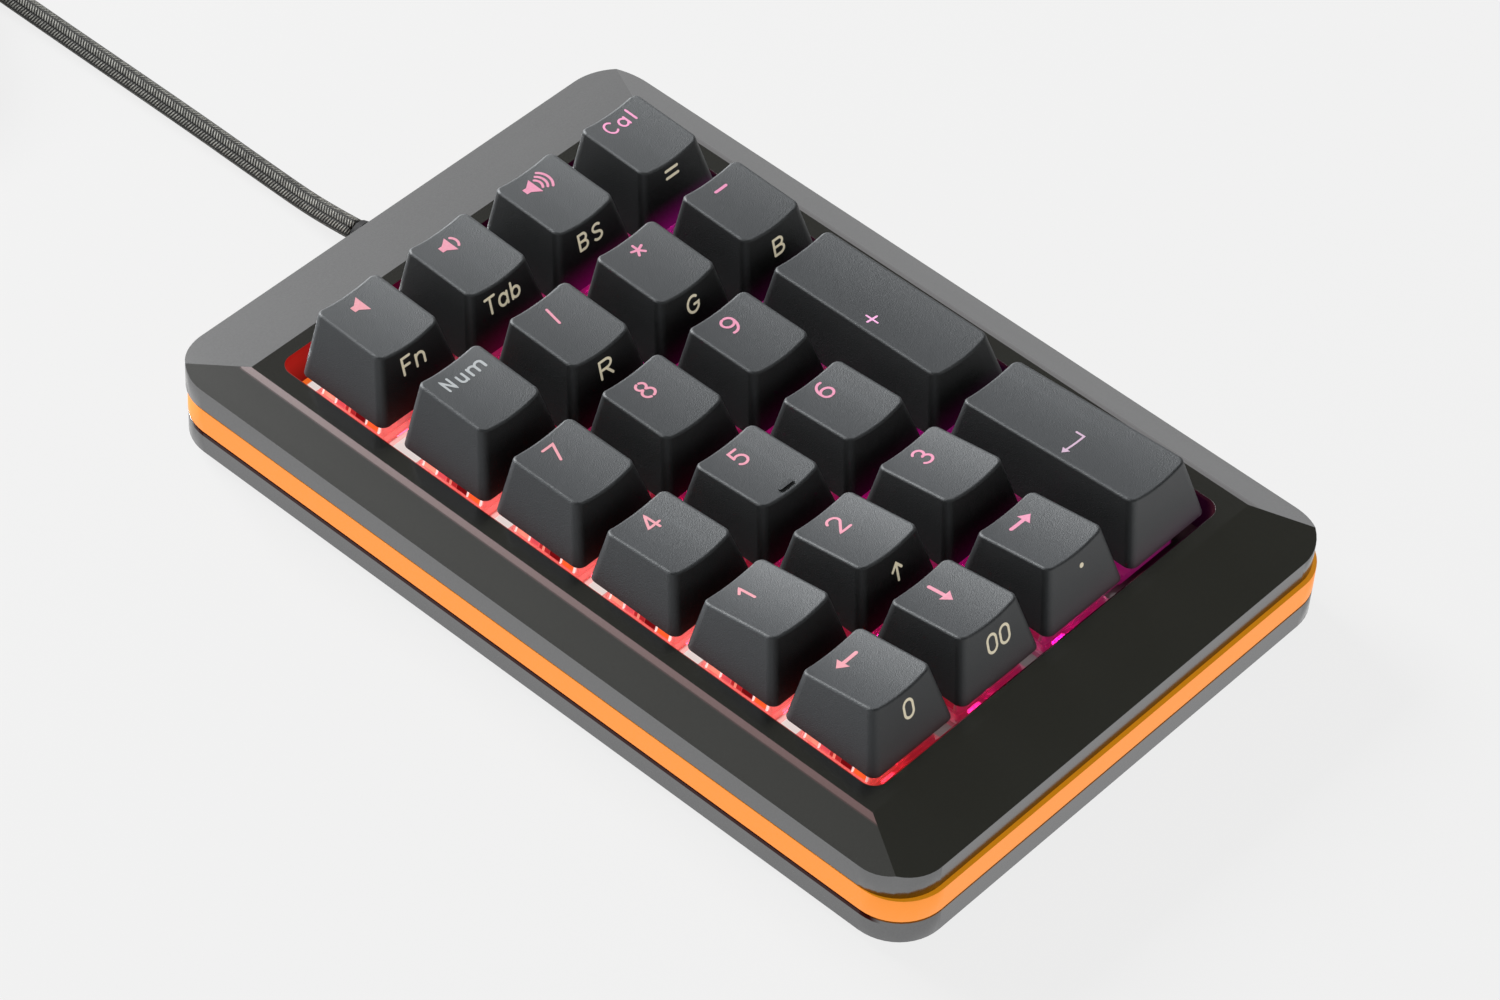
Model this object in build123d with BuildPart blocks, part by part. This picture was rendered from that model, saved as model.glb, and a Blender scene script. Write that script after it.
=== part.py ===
"""Numeric keypad: 22 sprung keys in a three-layer case, on a braided USB cable.

Millimetres.  +X is the user's right, +Y points away from the user, +Z is up.
The origin is at the centre of the keypad's footprint, on the surface that its feet stand on.
"""
from build123d import *
from math import asin, cos, pi, radians, sin, sqrt, tan
import os

os.makedirs("parts", exist_ok=True)

# ---------------------------------------------------------------- driving dimensions
# Case layers, from the desk upwards
case_width = 98.2
case_length = 148.4
case_corner = 8.15            # radius of the four upright corners
layer_proud = 0.1             # the light frame stands this far outside the top case
top_shift = 0.375             # the top case sits this far back of the origin
lower_shift = -0.225          # the light frame and the bottom case sit this far forward
foot_height = 1.2             # clear height under the bottom case
bottom_height = 4.6
frame_height = 4.85
band_height = 4.1             # upright band round the top case
bevel_height = 2.65           # rise of the four sloping faces
bevel_side = 6.9              # width of the sloping faces at left and right
bevel_end = 12.1              # width of the sloping faces at front and back
floor_thickness = 1.3
opening_width = 77.4
opening_length = 118.8
opening_corner = 2.2

# Keys
key_pitch = 19.05
function_row_gap = 2.1        # extra space between the back row and the rest
grid_shift = -1.37            # middle of the five lower rows, from the origin
key_travel = 4.0
skirt_width = 17.5
skirt_corner = 1.5
cap_top_half = 6.2            # half width of a cap's top face
cap_top_front = -5.5          # front and back edges of the top face, from the key's centre
cap_top_back = 8.0
cap_top_corner = 1.3
cap_wall = 1.3
cap_roof = 1.6
dish_depth = 0.8
cap_edge = 0.45               # rounding of the top face's rim
two_unit_extra = key_pitch

# Switches, plate and circuit board
plate_thickness = 1.5
board_below_plate = 5.0       # board top under plate top
board_thickness = 1.6
skirt_above_plate = 6.1
housing_hole = 14.0
housing_body = 13.9
housing_flange = 15.6
flange_height = 1.0
housing_top = 6.6             # switch housing's top above the plate's top
cross_height = 3.7
pin_below_board = 1.3
stabilizer_reach = 11.9       # stabiliser from the middle of a double-length key
wire_radius = 0.75
wire_arm = 8.2                # pivot to tip
wire_offset = 9.525           # pivot line from the key's centre line

# Cable
cable_diameter = 3.6
plug_depth_out = 80.9         # where the plug's moulding ends behind the case
collar_length = 1.2

# ---------------------------------------------------------------- derived heights
bottom_z = foot_height
frame_z = bottom_z + bottom_height
top_z = frame_z + frame_height
bevel_z = top_z + band_height
ring_z = bevel_z + bevel_height
floor_z = bottom_z + floor_thickness
plate_z = top_z                                  # top of the switch plate
board_top = plate_z - board_below_plate
board_bottom = board_top - board_thickness
housing_top_z = plate_z + housing_top
flange_z = plate_z + flange_height
skirt_z = plate_z + skirt_above_plate
socket_z = board_bottom                          # axis of the USB socket and plug
layer_width = case_width + 2 * layer_proud
layer_length = case_length + 2 * layer_proud + 0.1
layer_corner = case_corner + layer_proud


# ---------------------------------------------------------------- key layout
def key_y(row):
    """Y of a row's centre; row 0 is the back row, row 5 the front one."""
    gap = function_row_gap if row == 0 else 0
    return (2.5 - row) * key_pitch + gap + grid_shift


def key_x(column):
    return (column - 1.5) * key_pitch


# name: (column, row, rows that the key spans)
keys = {
    "mute": (0, 0, 1),
    "volume_down": (1, 0, 1),
    "volume_up": (2, 0, 1),
    "calculator": (3, 0, 1),
    "num_lock": (0, 1, 1),
    "divide": (1, 1, 1),
    "multiply": (2, 1, 1),
    "minus": (3, 1, 1),
    "7": (0, 2, 1),
    "8": (1, 2, 1),
    "9": (2, 2, 1),
    "plus": (3, 2, 2),
    "4": (0, 3, 1),
    "5": (1, 3, 1),
    "6": (2, 3, 1),
    "1": (0, 4, 1),
    "2": (1, 4, 1),
    "3": (2, 4, 1),
    "enter": (3, 4, 2),
    "0": (0, 5, 1),
    "00": (1, 5, 1),
    "point": (2, 5, 1),
}

# Cap heights at the front and back edge of the top face, above the skirt, for each row
row_heights = {0: (10.8, 11.4), 1: (10.9, 11.4), 2: (9.6, 9.6), 3: (9.3, 8.3), 4: (10.5, 8.1), 5: (10.3, 8.1)}
double_heights = {"plus": (9.5, 9.3), "enter": (10.5, 8.3)}


def key_centre(name):
    column, row, span = keys[name]
    return key_x(column), (key_y(row) + key_y(row + span - 1)) / 2


key_points = [key_centre(name) for name in keys]
double_keys = [name for name in keys if keys[name][2] == 2]
stabilizer_points = [
    (key_centre(name)[0], key_centre(name)[1] + side * stabilizer_reach)
    for name in double_keys
    for side in (-1, 1)
]

screw_points = [(side * 44.2, end * 67.4) for side in (-1, 1) for end in (-1, 1)]
screw_points += [(side * 45.6, 0.0) for side in (-1, 1)]
foot_points = [(side * 34.0, end * 67.4) for side in (-1, 1) for end in (-1, 1)]

# ---------------------------------------------------------------- top case
screw_diameter = 2.5
screw_clearance = 2.8
screw_head = 4.7
screw_head_height = 1.5
screw_top = 15.1

with BuildPart() as top_case:
    with BuildSketch(Plane.XY.offset(top_z)):
        with Locations((0, top_shift)):
            Rectangle(case_width, case_length)
    extrude(amount=band_height)
    with BuildSketch(Plane.XY.offset(bevel_z)):
        with Locations((0, top_shift)):
            Rectangle(case_width, case_length)
    with BuildSketch(Plane.XY.offset(ring_z)):
        with Locations((0, top_shift)):
            Rectangle(case_width - 2 * bevel_side, case_length - 2 * bevel_end)
    loft()
    with BuildSketch(Plane.XY.offset(top_z)):
        with Locations((0, top_shift)):
            RectangleRounded(case_width, case_length, case_corner)
    extrude(amount=band_height + bevel_height, mode=Mode.INTERSECT)
    with BuildSketch(Plane.XY.offset(top_z)):
        with Locations((0, top_shift)):
            RectangleRounded(opening_width, opening_length, opening_corner)
    extrude(amount=band_height + bevel_height, mode=Mode.SUBTRACT)
    rim = top_case.edges().filter_by(Plane.XY).group_by(Axis.Z)[-1]
    inner_rim = rim.filter_by(lambda edge: abs(edge.center().X) < opening_width / 2 + 0.1)
    inner_rim = inner_rim.filter_by(lambda edge: abs(edge.center().Y - top_shift) < opening_length / 2 + 0.1)
    chamfer(inner_rim, 0.35)
    with BuildSketch(Plane.XY.offset(top_z)):
        with Locations(*screw_points):
            Circle(screw_diameter / 2)
    extrude(amount=screw_top + 0.3 - top_z, mode=Mode.SUBTRACT)

top_case.part.label = "top_case"
export_step(top_case.part, "parts/top_case.step")

# ---------------------------------------------------------------- light frame
plate_width = 84.0
plate_length = 124.6
plate_corner = 3.0
plate_play = 0.2
ledge = 2.0                   # width of the shelf under the plate's edge
channel_width = 12.0          # room for the cable's plug through the back of the case
channel_top = 7.1
frame_edge = 0.4              # chamfer along the frame's lower outer edge

with BuildPart() as light_frame:
    with BuildSketch(Plane.XY.offset(frame_z)):
        with Locations((0, lower_shift)):
            RectangleRounded(layer_width, layer_length, layer_corner)
    extrude(amount=frame_height)
    chamfer(light_frame.faces().sort_by(Axis.Z)[0].outer_wire().edges(), frame_edge)
    with BuildSketch(Plane.XY.offset(frame_z)):
        with Locations((0, top_shift)):
            RectangleRounded(plate_width - 2 * ledge, plate_length - 2 * ledge, plate_corner)
    extrude(amount=frame_height, mode=Mode.SUBTRACT)
    with BuildSketch(Plane.XY.offset(plate_z - plate_thickness)):
        with Locations((0, top_shift)):
            RectangleRounded(plate_width + 2 * plate_play, plate_length + 2 * plate_play, plate_corner)
    extrude(amount=plate_thickness, mode=Mode.SUBTRACT)
    with BuildSketch(Plane.XY.offset(frame_z)):
        with Locations((0, case_length / 2 - 8)):
            Rectangle(channel_width, 24)
    extrude(amount=channel_top - frame_z, mode=Mode.SUBTRACT)
    with BuildSketch(Plane.XY.offset(frame_z)):
        with Locations(*screw_points):
            Circle(screw_clearance / 2)
    extrude(amount=frame_height, mode=Mode.SUBTRACT)

light_frame.part.label = "light_frame"
export_step(light_frame.part, "parts/light_frame.step")

# ---------------------------------------------------------------- bottom case
board_width = 80.0
board_front = -60.2
board_back = 60.6
tongue_width = 30.0           # part of the board that reaches back to the socket
tongue_back = 69.3
board_play = 1.0
foot_diameter = 9.0
foot_recess = 0.6

with BuildPart() as bottom_case:
    with BuildSketch(Plane.XY.offset(bottom_z)):
        with Locations((0, lower_shift)):
            RectangleRounded(case_width, case_length + 0.3, case_corner)
    extrude(amount=bottom_height)
    chamfer(bottom_case.faces().sort_by(Axis.Z)[0].outer_wire().edges(), 0.5)
    with BuildSketch(Plane.XY.offset(floor_z)):
        with Locations((0, (board_front + board_back) / 2)):
            RectangleRounded(board_width + 2 * board_play, board_back - board_front + 2 * board_play, 2.5)
    extrude(amount=bottom_height, mode=Mode.SUBTRACT)
    with BuildSketch(Plane.XY.offset(floor_z - 0.3)):
        with Locations((0, (board_back + tongue_back) / 2)):
            Rectangle(tongue_width + 2 * board_play, tongue_back - board_back + 2 * board_play)
    extrude(amount=bottom_height, mode=Mode.SUBTRACT)
    with BuildSketch(Plane.XY.offset(bottom_z)):
        with Locations((0, tongue_back + 5)):
            Rectangle(channel_width, 10)
    extrude(amount=bottom_height, mode=Mode.SUBTRACT)
    with BuildSketch(Plane.XY.offset(bottom_z)):
        with Locations(*screw_points):
            Circle(screw_clearance / 2)
    extrude(amount=bottom_height, mode=Mode.SUBTRACT)
    for x, y in screw_points:
        with BuildSketch(Plane.XY.offset(bottom_z)):
            with Locations((x, y)):
                Circle(screw_head / 2 + 0.05)
        with BuildSketch(Plane.XY.offset(bottom_z + screw_head_height)):
            with Locations((x, y)):
                Circle(screw_clearance / 2)
        loft(mode=Mode.SUBTRACT)
    with BuildSketch(Plane.XY.offset(bottom_z)):
        with Locations(*foot_points):
            Circle(foot_diameter / 2 + 0.1)
    extrude(amount=foot_recess, mode=Mode.SUBTRACT)

bottom_case.part.label = "bottom_case"
export_step(bottom_case.part, "parts/bottom_case.step")

# ---------------------------------------------------------------- screws and feet
with BuildPart() as case_screws:
    for x, y in screw_points:
        with BuildSketch(Plane.XY.offset(bottom_z)):
            with Locations((x, y)):
                Circle(screw_head / 2)
        with BuildSketch(Plane.XY.offset(bottom_z + screw_head_height)):
            with Locations((x, y)):
                Circle(screw_diameter / 2)
        loft()
    with BuildSketch(Plane.XY.offset(bottom_z + screw_head_height)):
        with Locations(*screw_points):
            Circle(screw_diameter / 2)
    extrude(amount=screw_top - bottom_z - screw_head_height)
    with BuildSketch(Plane.XY.offset(bottom_z)):
        with Locations(*screw_points):
            RegularPolygon(0.9, 6)
    extrude(amount=1.1, mode=Mode.SUBTRACT)

case_screws.part.label = "case_screws"
export_step(case_screws.part, "parts/case_screws.step")

with BuildPart() as rubber_feet:
    with BuildSketch(Plane.XY):
        with Locations(*foot_points):
            Circle(foot_diameter / 2)
    extrude(amount=foot_height + foot_recess)
    chamfer(rubber_feet.faces().filter_by(Axis.Z).group_by(Axis.Z)[0].edges(), 0.3)

rubber_feet.part.label = "rubber_feet"
export_step(rubber_feet.part, "parts/rubber_feet.step")

# ---------------------------------------------------------------- switch plate
stab_hole_left = -7.2         # stabiliser's hole in the plate, from the stabiliser's centre
stab_hole_right = 5.4
stab_hole_half = 3.6
arm_slot_end = -10.2
arm_slot_half = 1.2

with BuildPart() as switch_plate:
    with BuildSketch(Plane.XY.offset(plate_z - plate_thickness)):
        with Locations((0, top_shift)):
            RectangleRounded(plate_width, plate_length, plate_corner - plate_play)
        with Locations(*key_points):
            Rectangle(housing_hole, housing_hole, mode=Mode.SUBTRACT)
        for x, y in stabilizer_points:
            with Locations((x + (stab_hole_left + stab_hole_right) / 2, y)):
                Rectangle(stab_hole_right - stab_hole_left, 2 * stab_hole_half, mode=Mode.SUBTRACT)
            with Locations((x + (arm_slot_end + stab_hole_left) / 2, y)):
                Rectangle(stab_hole_left - arm_slot_end + 0.2, 2 * arm_slot_half, mode=Mode.SUBTRACT)
        for side in (-1, 1):
            for end in (-1, 1):
                with Locations((side * opening_width / 2, top_shift + end * (opening_length / 2 + 1.2))):
                    Circle(3.4, mode=Mode.SUBTRACT)
    extrude(amount=plate_thickness)

switch_plate.part.label = "switch_plate"
export_step(switch_plate.part, "parts/switch_plate.step")

# ---------------------------------------------------------------- switches
# Places on a switch, from its centre
fixed_pin = (2.54, 5.08)
moving_pin = (-3.81, 4.3)
light_place = (0.0, -4.9)
well_floor = board_top + 1.0
centre_post = 1.95
slider_bottom = plate_z + 0.2
bore_top = plate_z + 4.65
opening_x = 7.4
opening_y = 6.1

with BuildPart() as lower_housing:
    with BuildSketch(Plane.XY.offset(board_top)):
        RectangleRounded(housing_body, housing_body, 0.4)
    extrude(amount=plate_z - board_top)
    with BuildSketch(Plane.XY.offset(plate_z)):
        RectangleRounded(housing_flange, housing_flange, 0.6)
    extrude(amount=flange_height)
    with BuildSketch(Plane.XY.offset(board_top)):
        Circle(centre_post)
    extrude(amount=-2.7)
    with BuildSketch(Plane.XY.offset(well_floor)):
        with Locations((0, 0.9)):
            Rectangle(9.4, 10.0)
    extrude(amount=flange_z - well_floor, mode=Mode.SUBTRACT)
    with BuildSketch(Plane.XY.offset(board_top)):
        with Locations(light_place):
            Rectangle(4.4, 2.8)
        with Locations(fixed_pin, moving_pin):
            Rectangle(1.5, 0.8)
    extrude(amount=flange_z - board_top, mode=Mode.SUBTRACT)

with BuildPart() as upper_housing:
    with BuildSketch(Plane.XY.offset(flange_z)):
        RectangleRounded(14.6, 14.6, 0.6)
    with BuildSketch(Plane.XY.offset(flange_z + 1.0)):
        RectangleRounded(14.0, 14.0, 0.6)
    loft()
    with BuildSketch(Plane.XY.offset(flange_z + 1.0)):
        RectangleRounded(13.6, 13.6, 0.6)
    with BuildSketch(Plane.XY.offset(housing_top_z)):
        RectangleRounded(10.8, 9.8, 0.6)
    loft()
    with BuildSketch(Plane.XY.offset(flange_z)):
        Rectangle(12.4, 12.4)
    with BuildSketch(Plane.XY.offset(housing_top_z - 0.9)):
        Rectangle(9.2, 8.2)
    loft(mode=Mode.SUBTRACT)
    with BuildSketch(Plane.XY.offset(housing_top_z - 1.2)):
        Rectangle(opening_x, opening_y)
    extrude(amount=1.3, mode=Mode.SUBTRACT)

with BuildPart() as contact_pair:
    with BuildSketch(Plane.XY.offset(board_bottom - pin_below_board)):
        with Locations(fixed_pin, moving_pin):
            Rectangle(1.0, 0.35)
    extrude(amount=flange_z + 0.3 - board_bottom + pin_below_board)
    with BuildSketch(Plane.XY.offset(plate_z - 0.6)):
        with Locations((-0.9, moving_pin[1])):
            Rectangle(5.0, 0.35)
    extrude(amount=1.2)

with BuildPart() as slider_stem:
    with BuildSketch(Plane.XY.offset(slider_bottom)):
        Rectangle(7.0, 5.7)
    extrude(amount=housing_top_z - slider_bottom)
    with BuildSketch(Plane.XY.offset(slider_bottom)):
        Rectangle(8.0, 3.0)
    extrude(amount=housing_top_z - 1.3 - slider_bottom)
    with BuildSketch(Plane.XY.offset(housing_top_z)):
        Rectangle(4.0, 1.17)
        Rectangle(1.17, 4.0)
    extrude(amount=cross_height)
    with BuildSketch(Plane.XY.offset(slider_bottom)):
        Circle(2.45)
    extrude(amount=bore_top - slider_bottom, mode=Mode.SUBTRACT)

spring_wire = 0.15
spring_radius = 2.0
spring_bottom = well_floor + 2 * spring_wire
spring_top = bore_top - 2 * spring_wire

with BuildPart() as spring:
    with BuildLine(Plane.XY.offset(spring_bottom)) as spring_path:
        Helix(pitch=1.35, height=spring_top - spring_bottom, radius=spring_radius)
    with BuildSketch(Plane(origin=spring_path.line @ 0, z_dir=spring_path.line % 0)):
        Circle(spring_wire)
    sweep(path=spring_path.line)


def at_each(solids, points):
    """Copies of the solids at each place."""
    return [Pos(x, y, 0) * solid for x, y in points for solid in solids]


def export_group(children, label):
    """Separate solids as one node."""
    group = Compound(children=list(children))
    group.label = label
    export_step(group, f"parts/{label}.step")


housing_solids = lower_housing.part.solids() + upper_housing.part.solids()
export_group(at_each(housing_solids, key_points), "switch_housings")
export_group(at_each(spring.part.solids(), key_points), "switch_springs")

# ---------------------------------------------------------------- stabilisers
# Under each double-length key a wire keeps its two ends level.
pivot_z = plate_z + 1.15
arm_angle = asin(key_travel / 2 / wire_arm)      # the arm tips up by this at rest
tip_z = pivot_z + key_travel / 2
stab_bottom = plate_z - 4.4
stab_step = flange_z
stab_top = plate_z + 5.9

with BuildPart() as stab_housing:
    with BuildSketch(Plane.XY.offset(stab_bottom)):
        with Locations((-0.9, 0)):
            Rectangle(12.0, 6.8)
    extrude(amount=stab_step - stab_bottom)
    with BuildSketch(Plane.XY.offset(stab_step)):
        Rectangle(8.8, 6.8)
    extrude(amount=stab_top - stab_step)
    with BuildSketch(Plane.XY.offset(plate_z)):
        with Locations((-8.7, 0)):
            Rectangle(4.2, 6.8)
    extrude(amount=1.75)
    with BuildSketch(Plane.XY.offset(stab_bottom + 0.5)):
        Rectangle(6.0, 5.8)
    extrude(amount=stab_top - stab_bottom, mode=Mode.SUBTRACT)
    with BuildSketch(Plane.XY.offset(stab_bottom + 1.5)):
        with Locations((-7.0, 0)):
            Rectangle(9.0, 2 * arm_slot_half)
    extrude(amount=8.2, mode=Mode.SUBTRACT)
    with BuildSketch(Plane.XZ.offset(-5)):
        with Locations((-wire_offset, pivot_z)):
            Circle(wire_radius + 0.1)
        with Locations((-wire_offset, pivot_z + 1)):
            Rectangle(1.3, 2)
    extrude(amount=10, mode=Mode.SUBTRACT)

export_group(at_each(stab_housing.part.solids(), stabilizer_points), "stabilizer_housings")

for name in double_keys:
    x, y = key_centre(name)
    pivot = Vector(x - wire_offset, y, pivot_z)
    arm_direction = Vector(cos(arm_angle), 0, sin(arm_angle))
    with BuildPart() as wire:
        with BuildSketch(Plane(origin=pivot - Vector(0, stabilizer_reach, 0), z_dir=(0, 1, 0))):
            Circle(wire_radius)
        extrude(amount=2 * stabilizer_reach)
        for side in (-1, 1):
            corner = pivot + Vector(0, side * stabilizer_reach, 0)
            with BuildSketch(Plane(origin=corner, z_dir=arm_direction)):
                Circle(wire_radius)
            extrude(amount=wire_arm)
            with Locations(corner):
                Sphere(wire_radius)
    wire.part.label = f"stabilizer_wire_{name}"
    export_step(wire.part, f"parts/stabilizer_wire_{name}.step")

with BuildPart() as stab_slider:
    with BuildSketch(Plane.XY.offset(slider_bottom)):
        Rectangle(5.4, 4.4)
    extrude(amount=housing_top_z - slider_bottom)
    with BuildSketch(Plane.XY.offset(housing_top_z)):
        Rectangle(4.0, 1.17)
        Rectangle(1.17, 4.0)
    extrude(amount=cross_height)
    with BuildSketch(Plane.XY.offset(tip_z - 1.6)):
        with Locations((-1.7, 0)):
            Rectangle(2.4, 4.6)
    extrude(amount=3.2, mode=Mode.SUBTRACT)

for name in keys:
    x, y = key_centre(name)
    with BuildPart() as stem:
        with Locations((x, y)):
            add(slider_stem.part)
        if name in double_keys:
            with Locations((x, y - stabilizer_reach), (x, y + stabilizer_reach)):
                add(stab_slider.part)
    stem.part.label = f"stem_{name}"
    export_step(stem.part, f"parts/stem_{name}.step")


# ---------------------------------------------------------------- keycaps
def make_cap(front_height, back_height, span):
    """One cap about its own centre, with its skirt's lower edge at z = 0."""
    extra = (span - 1) * two_unit_extra / 2
    front = cap_top_front - extra
    back = cap_top_back + extra
    length = sqrt((back - front) ** 2 + (back_height - front_height) ** 2)
    tilt = Vector(0, front_height - back_height, back - front)
    middle = Vector(0, (front + back) / 2, (front_height + back_height) / 2)
    top_plane = Plane(origin=middle, x_dir=(1, 0, 0), z_dir=tilt)
    dish_radius = (cap_top_half ** 2 + dish_depth ** 2) / (2 * dish_depth)
    skirt_length = skirt_width + 2 * extra
    with BuildPart() as cap:
        with BuildSketch(Plane.XY):
            RectangleRounded(skirt_width, skirt_length, skirt_corner)
        with BuildSketch(top_plane):
            RectangleRounded(2 * cap_top_half, length, cap_top_corner)
        loft()
        along = Plane(origin=top_plane.origin - top_plane.y_dir * (length / 2 + 1), z_dir=top_plane.y_dir)
        lift = top_plane.z_dir * (dish_radius - dish_depth)
        with BuildSketch(Plane(origin=along.origin + lift, x_dir=(1, 0, 0), z_dir=along.z_dir)):
            Circle(dish_radius)
        extrude(amount=length + 2, mode=Mode.SUBTRACT)
        rim = cap.faces().sort_by(Axis.Z)[-1].outer_wire().edges()
        fillet(rim, cap_edge)
        with BuildSketch(Plane.XY):
            RectangleRounded(skirt_width - 2 * cap_wall, skirt_length - 2 * cap_wall, 0.6)
        roof = top_plane.offset(-cap_roof - dish_depth / 2)
        with BuildSketch(roof):
            RectangleRounded(2 * (cap_top_half - cap_wall), length - 2 * cap_wall, 0.6)
        loft(mode=Mode.SUBTRACT)
        posts = [(0, 0)]
        if span == 2:
            posts += [(0, -stabilizer_reach), (0, stabilizer_reach)]
        post_bottom = housing_top_z - skirt_z
        roof_height = min(front_height, back_height) - cap_roof
        with BuildSketch(Plane.XY.offset(post_bottom)):
            with Locations(*posts):
                Circle(2.75)
        extrude(amount=roof_height - post_bottom)
        with BuildSketch(Plane.XY.offset(post_bottom)):
            with Locations(*posts):
                Rectangle(4.1, 1.27)
                Rectangle(1.27, 4.1)
        extrude(amount=cross_height + 0.15, mode=Mode.SUBTRACT)
    return cap.part


homing_length = 3.0
homing_width = 0.6
homing_height = 0.35
homing_y = -4.4

caps = {}
for name, (column, row, span) in keys.items():
    heights = double_heights[name] if span == 2 else row_heights[row]
    if heights + (span,) not in caps:
        caps[heights + (span,)] = make_cap(heights[0], heights[1], span)
    x, y = key_centre(name)
    with BuildPart() as keycap:
        with Locations((x, y, skirt_z)):
            add(caps[heights + (span,)])
        if name == "5":
            share = (homing_y - cap_top_front) / (cap_top_back - cap_top_front)
            surface = skirt_z + heights[0] + share * (heights[1] - heights[0]) - dish_depth
            with BuildSketch(Plane.XY.offset(surface - 0.5)):
                with Locations((x, y + homing_y)):
                    SlotOverall(homing_length, homing_width)
            extrude(amount=0.5 + homing_height)
    keycap.part.label = f"keycap_{name}"
    export_step(keycap.part, f"parts/keycap_{name}.step")

# ---------------------------------------------------------------- circuit board
socket_width = 8.94
socket_height = 3.26
socket_depth = 7.35
socket_mouth = tongue_back + 0.25
shell_width = 8.25
shell_height = 2.4
pin_hole = 0.75

with BuildPart() as board:
    with BuildSketch(Plane.XY.offset(board_bottom)):
        with Locations((0, (board_front + board_back) / 2)):
            RectangleRounded(board_width, board_back - board_front, 2.0)
        with Locations((0, (board_back + tongue_back) / 2 - 1)):
            Rectangle(tongue_width, tongue_back - board_back + 2)
        with Locations((0, socket_mouth - socket_depth / 2)):
            Rectangle(socket_width + 0.2, socket_depth + 0.2, mode=Mode.SUBTRACT)
        for x, y in key_points:
            with Locations((x, y)):
                Circle(centre_post + 0.05, mode=Mode.SUBTRACT)
            with Locations((x + fixed_pin[0], y + fixed_pin[1]), (x + moving_pin[0], y + moving_pin[1])):
                Circle(pin_hole, mode=Mode.SUBTRACT)
    extrude(amount=board_thickness)

with BuildPart() as socket:
    mouth_plane = Plane(origin=(0, socket_mouth, socket_z), x_dir=(1, 0, 0), z_dir=(0, -1, 0))
    with BuildSketch(mouth_plane):
        RectangleRounded(socket_width, socket_height, 1.2)
    extrude(amount=socket_depth)
    with BuildSketch(mouth_plane):
        RectangleRounded(shell_width + 0.15, shell_height + 0.15, 1.15)
    extrude(amount=socket_depth - 0.5, mode=Mode.SUBTRACT)
    with BuildSketch(mouth_plane.offset(1.5)):
        Rectangle(6.6, 0.7)
    extrude(amount=socket_depth - 1.5)

with BuildPart() as key_lights:
    with BuildSketch(Plane.XY.offset(board_top)):
        for x, y in key_points:
            with Locations((x + light_place[0], y + light_place[1])):
                Rectangle(3.2, 1.6)
    extrude(amount=1.1)

with BuildPart() as chips:
    with BuildSketch(Plane.XY.offset(board_top)):
        with Locations((-8.5, tongue_back - 3.6)):
            Rectangle(6.0, 5.0)
        with Locations((8.6, tongue_back - 4.0)):
            Rectangle(2.6, 3.2)
    extrude(amount=0.12)

board_solids = board.part.solids() + socket.part.solids() + key_lights.part.solids() + chips.part.solids()
export_group(board_solids + at_each(contact_pair.part.solids(), key_points), "circuit_board")

# ---------------------------------------------------------------- cable
plug_width = 11.0
plug_height = 5.2
plug_front = tongue_back + 0.45

with BuildPart() as plug_grip:
    plug_plane = Plane(origin=(0, plug_front, socket_z), x_dir=(1, 0, 0), z_dir=(0, 1, 0))
    with BuildSketch(plug_plane):
        RectangleRounded(plug_width, plug_height, 2.3)
    extrude(amount=plug_depth_out - plug_front)
    chamfer(plug_grip.faces().sort_by(Axis.Y)[-1].edges(), 0.5)
    with BuildSketch(plug_plane.offset(plug_depth_out - plug_front)):
        Circle(2.4)
    with BuildSketch(plug_plane.offset(plug_depth_out - plug_front + collar_length)):
        Circle(cable_diameter / 2 + 0.25)
    loft()

with BuildPart() as plug_shell:
    with BuildSketch(plug_plane):
        RectangleRounded(shell_width, shell_height, 1.1)
    extrude(amount=-6.65)
    with BuildSketch(plug_plane.offset(-6.65)):
        RectangleRounded(shell_width - 0.6, shell_height - 0.6, 0.85)
    extrude(amount=6.0, mode=Mode.SUBTRACT)

export_group(plug_grip.part.solids() + plug_shell.part.solids(), "usb_cable_plug")

# The free cable: straight back along the desk, then into a tied coil
cable_rest = cable_diameter / 2 + 0.05
cable_start = plug_depth_out + collar_length
coil_outer = 26.9             # radius of the outermost turn
coil_rows = 4                 # turns side by side
coil_layers = 3               # turns on top of each other
coil_centre = (0.6 - coil_outer, 191.0)

cable_route = [
    (0.0, cable_start, socket_z),
    (0.05, 86.8, 3.3),
    (0.4, 94.0, 2.2),
    (0.7, 104.0, cable_rest),
    (0.85, 122.0, cable_rest),
    (0.65, 152.0, cable_rest),
    (coil_centre[0] + coil_outer, coil_centre[1] - 10.0, cable_rest),
]


def route_radii(points):
    """The arc at each inner point: 0.45 of its shorter run over the tangent of half its turn."""
    radii = []
    for before, here, after in zip(points, points[1:], points[2:]):
        run_in = Vector(*here) - Vector(*before)
        run_out = Vector(*after) - Vector(*here)
        half_turn = radians(run_in.get_angle(run_out)) / 2
        radii.append(0.45 * min(run_in.length, run_out.length) / tan(half_turn))
    return radii


radii = route_radii(cable_route)
print("cable radii:", [round(radius, 1) for radius in radii])

with BuildPart() as cable:
    with BuildLine() as cable_line:
        FilletPolyline(*cable_route, radius=radii)
    with BuildSketch(Plane(origin=cable_route[0], z_dir=cable_line.line % 0)):
        Circle(cable_diameter / 2)
    sweep(path=cable_line.line)

section = pi * cable_diameter ** 2 / 4
run_length = sum(edge.length for edge in cable_line.line.edges())
print("cable volume / (section x length):", round(cable.part.volume / section / run_length, 4))
print("length before the coil:", round(run_length, 1))
cable.part.label = "usb_cable"
export_step(cable.part, "parts/usb_cable.step")

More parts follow.
